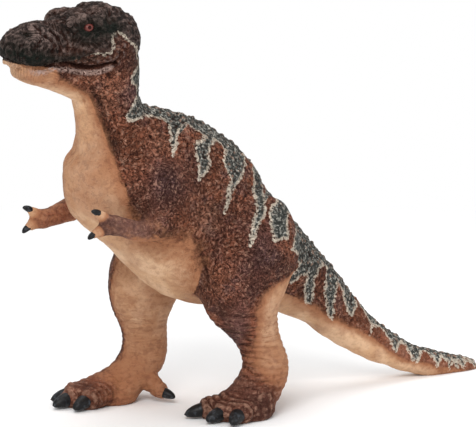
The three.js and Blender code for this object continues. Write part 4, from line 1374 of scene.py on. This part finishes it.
        # the colour of the crests: dry-brush paint with a painted highlight
        crest = nodes.coats(self.highlight_and_dry_brush, (self.skull_light, skull))
        socket = nodes.coats(self.near_black, (self.eye_socket, skull))
        return nodes.coats(
            self.body(nodes, f),
            (self.underside(nodes, f), f.below),
            (self.back(nodes, f), f.rim.ramp(-0.1, 0.1)),
            (self.lip, masks["mouth"] * f.specks.ramp(0.38, 0.52)),
            # the hollows of the hide darkened: a dark wash with painted shade
            (self.tan_shade, crease_wash_and_shade * f.below * 0.7),
            (self.crevice_wash_and_shade, crease_wash_and_shade * (0.85 - sunk)),
            (crest, highlight_and_wear * (skull * 0.35 + 0.5 - f.below * 0.4)),
            (self.cream, line * 0.85),
            # the dark spots, with the painted shadow of the neck fold
            (socket, masks["dark"] * f.dabs.ramp(0.28, 0.56)),
        )

    def relief(self, nodes: Nodes, fields: HideTextures) -> Signal:
        """The finest bumps of the hide."""
        f, masks = fields, fields.masks
        rough_skin = 1.0 - f.below * 0.85
        grain = f.specks * 1.2 + f.pebble.ramp(0.5, 0.1) * 0.25
        curled = f.curl.ramp(0.0, 0.09) * (rough_skin - masks["calm"] * 0.6)
        return (
            grain * rough_skin * (1.0 - masks["calm"] * 0.5)
            + f.fine * 0.25
            + f.swirl.ramp(0.0, 0.5) * masks["skull"] * 0.5
            + nodes.math("MAXIMUM", curled, 0.0) * 0.8
            + f.streaks * masks["leg"] * 1.1
        )

    def material(self, name: str) -> bpy.types.Material:
        """The painted hide as a material."""
        material, nodes = new_material(name)
        fields = HideTextures(nodes)
        uneven = (fields.dabs - 0.5) * 0.25
        self.finish.apply(nodes, self.colour(nodes, fields), uneven, self.relief(nodes, fields))
        return material


@dataclass(frozen=True)
class HornPaint:
    """The paint of the claws."""

    horn: Colour = (20, 19, 20)
    # bluish grey streaks on the claws: a painted highlight with wear
    highlight_and_wear: Colour = (66, 70, 76)
    finish: Finish = Finish(0.36, 0.22, 0.2, 0.5)

    def material(self, name: str) -> bpy.types.Material:
        """The claw paint as a material."""
        material, nodes = new_material(name)
        streaks = nodes.noise(nodes.place(), 600.0, 4.0)
        colour = nodes.coats(self.horn, (self.highlight_and_wear, streaks.ramp(0.5, 0.75)))
        self.finish.apply(nodes, colour, streaks * 0.2, streaks)
        return material


@dataclass(frozen=True)
class EyePaint:
    """The paint of the eyes, in rings round the pupil."""

    pupil: Colour = (38, 6, 3)
    iris: Colour = (116, 62, 56)
    rim: Colour = (50, 16, 12)
    pupil_radius: float = 0.64
    pupil_edge: float = 0.12
    iris_radius: float = 1.9
    iris_edge: float = 0.8
    finish: Finish = Finish(0.2, 0.14, 0.05, 0.2)

    def material(self, name: str) -> bpy.types.Material:
        """The eye paint as a material."""
        material, nodes = new_material(name)
        flecks = nodes.noise(nodes.place(), 2500.0)
        away = nodes.mask("from_pupil")
        colour = nodes.coats(
            self.iris,
            (self.rim, flecks * 0.4),
            (self.rim, away.ramp(self.iris_radius - self.iris_edge, self.iris_radius)),
            (self.pupil, away.ramp(self.pupil_radius + self.pupil_edge, self.pupil_radius)),
        )
        self.finish.apply(nodes, colour, flecks * 0.06, flecks)
        return material


@dataclass(frozen=True)
class CorePlastic:
    """The bare plastic of the trunk's core."""

    plain: Colour = (122, 116, 108)
    darker: Colour = (90, 86, 80)
    finish: Finish = Finish(0.6, 0.5, 0.1, 0.3)

    def material(self, name: str) -> bpy.types.Material:
        """The plastic as a material."""
        material, nodes = new_material(name)
        grain = nodes.noise(nodes.place(), 1200.0, 4.0)
        self.finish.apply(nodes, nodes.coats(self.plain, (self.darker, grain * 0.25)), grain * 0.1, grain)
        return material


@dataclass(frozen=True)
class ClawMaker:
    """Makes the horn of the claws."""

    rings: int = 12
    corners: int = 16
    buried: float = 0.3  # how much of a claw's length lies inside the flesh
    hook: float = 0.28  # how far the tip bends down, beside the claw's width
    tip: float = 0.02
    wide: float = 0.94
    tall: float = 0.86

    def ring(self, claw: Claw, share: float) -> list[Vector]:
        """The corners of one ring, from 0 at the claw's root to 1 at its tip."""
        ahead = Vector(claw.heading)
        across = ahead.cross(Vector((0.0, 0.0, 1.0))).normalized()
        up = across.cross(ahead)
        along = claw.length * (-self.buried + (1.0 + self.buried) * share)
        half = claw.width / 2 * (1.0 - share**2.8) ** 0.58 if share < 1 else self.tip
        middle = Vector(claw.root) + ahead * along + up * (-self.hook * claw.width * share**2)
        turns = [2 * math.pi * corner / self.corners for corner in range(self.corners)]
        across, up = across * half * self.wide, up * half * self.tall
        return [middle + across * math.cos(turn) + up * math.sin(turn) for turn in turns]

    def piece(self, name: str, claws: list[Claw], origin: np.ndarray) -> bpy.types.Object:
        """The claws of one hand or foot.

        Args:
            name: The piece's name.
            claws: Their places and sizes.
            origin: The figure frame's origin, in millimetres.

        Returns:
            The piece.
        """
        bm = bmesh.new()
        for claw in claws:
            rings = [self.ring(claw, ring / (self.rings - 1)) for ring in range(self.rings)]
            loops = [[bm.verts.new((corner + Vector(origin)) * MM) for corner in ring] for ring in rings]
            for first, second in zip(loops, loops[1:]):
                for i, (a, b) in enumerate(zip(first, first[1:] + first[:1])):
                    bm.faces.new((a, b, second[(i + 1) % self.corners], second[i]))
            bm.faces.new(list(reversed(loops[0])))
            bm.faces.new(loops[-1])
        bmesh.ops.recalc_face_normals(bm, faces=bm.faces)
        for vert in bm.verts:
            vert.co.z = max(vert.co.z, 0.0)
        mesh = to_mesh(bm, name)
        shade_smooth(mesh)
        return link(name, mesh)


@dataclass(frozen=True)
class Eyeball:
    """The glossy bead of one eye."""

    side: Side
    centre: Point = (-54.7, -8.55, 142.0)
    radii: Point = (2.2, 2.3, 1.75)
    looking: Point = (-0.12, -0.98, 0.12)

    def piece(self, name: str, origin: np.ndarray) -> bpy.types.Object:
        """The eyeball, with each point's distance from the pupil's middle."""
        middle, looking = on_side((self.centre, self.looking), self.side)
        pupil = middle + looking / np.linalg.norm(looking) * self.radii[1]
        bm = bmesh.new()
        bmesh.ops.create_icosphere(bm, subdivisions=5, radius=MM)
        bmesh.ops.scale(bm, verts=bm.verts, vec=Vector(self.radii))
        bmesh.ops.translate(bm, verts=bm.verts, vec=Vector((middle + origin) * MM))
        mesh = to_mesh(bm, name)
        places = np.array([vert.co for vert in mesh.vertices]) / MM - origin
        keep_numbers(mesh, "from_pupil", np.linalg.norm(places - pupil, axis=1))
        shade_smooth(mesh)
        return link(name, mesh)


@dataclass(frozen=True)
class Lamp:
    """A soft square lamp that looks at the figure, in metres and watts."""

    name: str
    place: Point
    size: float
    watts: float
    target: Point = (0.0, 0.0, 0.07)

    def light(self) -> None:
        """Puts the lamp in the scene."""
        data = bpy.data.lights.new(self.name, "AREA")
        data.shape = "SQUARE"
        data.size = self.size
        data.energy = self.watts
        lamp = bpy.data.objects.new(self.name, data)
        lamp.location = self.place
        lamp.rotation_euler = (Vector(self.place) - Vector(self.target)).to_track_quat("Z", "Y").to_euler()
        bpy.context.scene.collection.objects.link(lamp)


@dataclass(frozen=True)
class Studio:
    """The floor, the lamps and the camera."""

    azimuth: float = 30.0
    elevation: float = 12.0
    distance: float = 3000.0
    frame_width: float = 168.0  # what the picture spans at the figure
    aim: Point = (0.0, 0.0, 75.0)
    aim_right: float = 9.2
    aim_up: float = -6.4
    far_clip: float = 100.0  # metres
    floor_half: float = 3.0  # metres
    floor_fade: Pair = (0.14, 0.34)  # metres from the middle, over which the floor turns white
    floor_pale: float = 0.93
    floor_roughness: float = 0.9
    ambient: float = 0.55
    lamps: tuple[Lamp, ...] = (
        Lamp("key", (-0.75, -0.85, 1.0), 0.7, 13.0),
        Lamp("fill", (0.9, -0.9, 0.5), 0.9, 4.0),
        Lamp("top", (0.1, 0.3, 1.3), 0.9, 8.0),
    )

    def camera(self, origin: np.ndarray) -> None:
        """Puts the camera at the photograph's viewing angle."""
        turn, rise = math.radians(self.azimuth), math.radians(self.elevation)
        back = Vector((-math.sin(turn) * math.cos(rise), -math.cos(turn) * math.cos(rise), math.sin(rise)))
        right = Vector((math.cos(turn), -math.sin(turn), 0.0))
        target = Vector(origin) + Vector(self.aim)
        target += right * self.aim_right + back.cross(right) * self.aim_up
        data = bpy.data.cameras.new("camera")
        data.lens = data.sensor_width * self.distance / self.frame_width
        data.clip_end = self.far_clip
        camera = bpy.data.objects.new("camera", data)
        camera.location = (target + back * self.distance) * MM
        camera.rotation_euler = back.to_track_quat("Z", "Y").to_euler()
        bpy.context.scene.collection.objects.link(camera)
        bpy.context.scene.camera = camera

    def floor(self) -> None:
        """The plain pale floor."""
        bm = bmesh.new()
        bmesh.ops.create_grid(bm, x_segments=1, y_segments=1, size=self.floor_half)
        mesh = to_mesh(bm, "floor")
        floor = link("floor", mesh)
        material, nodes = new_material("floor")
        away = nodes.add("ShaderNodeVectorMath", {0: nodes.place()}, operation="LENGTH").outputs["Value"]
        seen = nodes.add("ShaderNodeLightPath").outputs["Is Camera Ray"]
        far = Signal(nodes, away).ramp(*self.floor_fade) * seen
        grey = {"Base Color": (*(self.floor_pale,) * 3, 1.0), "Roughness": self.floor_roughness}
        pale = nodes.add("ShaderNodeBsdfPrincipled", grey).outputs[0]
        white = nodes.add("ShaderNodeEmission", {"Color": WHITE}).outputs[0]
        mixed = nodes.add("ShaderNodeMixShader", {0: far, 1: pale, 2: white}).outputs[0]
        nodes.add("ShaderNodeOutputMaterial", {"Surface": mixed})
        mesh.materials.append(material)

    def world(self) -> None:
        """Soft light from all round, and a white background."""
        world = bpy.data.worlds.new("world")
        bpy.context.scene.world = world
        world.use_nodes = True
        nodes = Nodes(world.node_tree)
        seen = nodes.add("ShaderNodeLightPath").outputs["Is Camera Ray"]
        soft, white = (
            nodes.add("ShaderNodeBackground", {"Color": WHITE, "Strength": strength}).outputs[0]
            for strength in (self.ambient, 1.0)
        )
        mixed = nodes.add("ShaderNodeMixShader", {0: seen, 1: soft, 2: white}).outputs[0]
        nodes.add("ShaderNodeOutputWorld", {"Surface": mixed})

    def build(self, origin: np.ndarray) -> None:
        """Sets up everything round the figure."""
        bpy.context.scene.view_settings.view_transform = "Standard"
        self.floor()
        self.world()
        for lamp in self.lamps:
            lamp.light()
        self.camera(origin)


def build(frame: dict) -> None:
    nodes = frame["nodes"]
    origin = Stand().origin()
    hide, shares = Moulding(nodes, origin).build()
    LOG.info("the hide has %d points", len(hide.points))
    carving = Carving(hide, shares)
    hollow = carving.carve()
    masks = {"hollow": hollow, **Paint(carving).masks()}
    LOG.info("carved and painted")
    slots = {"head": "head_paint", "lower_jaw": "jaw_paint"}
    finishes = {name: HidePaint().material(name) for name in ("body_paint", "head_paint", "jaw_paint")}
    for name, piece in Pieces(hide, carving.shares, masks).make().items():
        slot = slots.get(name, "body_paint")
        piece.data.materials.append(finishes[slot])
        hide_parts(name)
        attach(piece, "root")
    horn = HornPaint().material("claw_paint")
    for name, limb in LIMBS.items():
        claws = ClawMaker().piece(name, limb.claws(), origin)
        claws.data.materials.append(horn)
        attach(claws, "root")
    eye_paint = EyePaint().material("eye_paint")
    for side in Side:
        eye = Eyeball(side).piece(f"{side.name.lower()}_eye", origin)
        eye.data.materials.append(eye_paint)
        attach(eye, "root")
    core = nodes["torso_core"].data
    core.materials.clear()
    core.materials.append(CorePlastic().material("core_plastic"))
    Studio().build(origin)


def main() -> None:
    """Loads the frame and builds the scene."""
    logging.basicConfig(level=logging.INFO, format="%(name)s: %(message)s")
    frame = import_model()
    build(frame)
    bpy.context.view_layer.update()


if __name__ == "__main__":
    main()
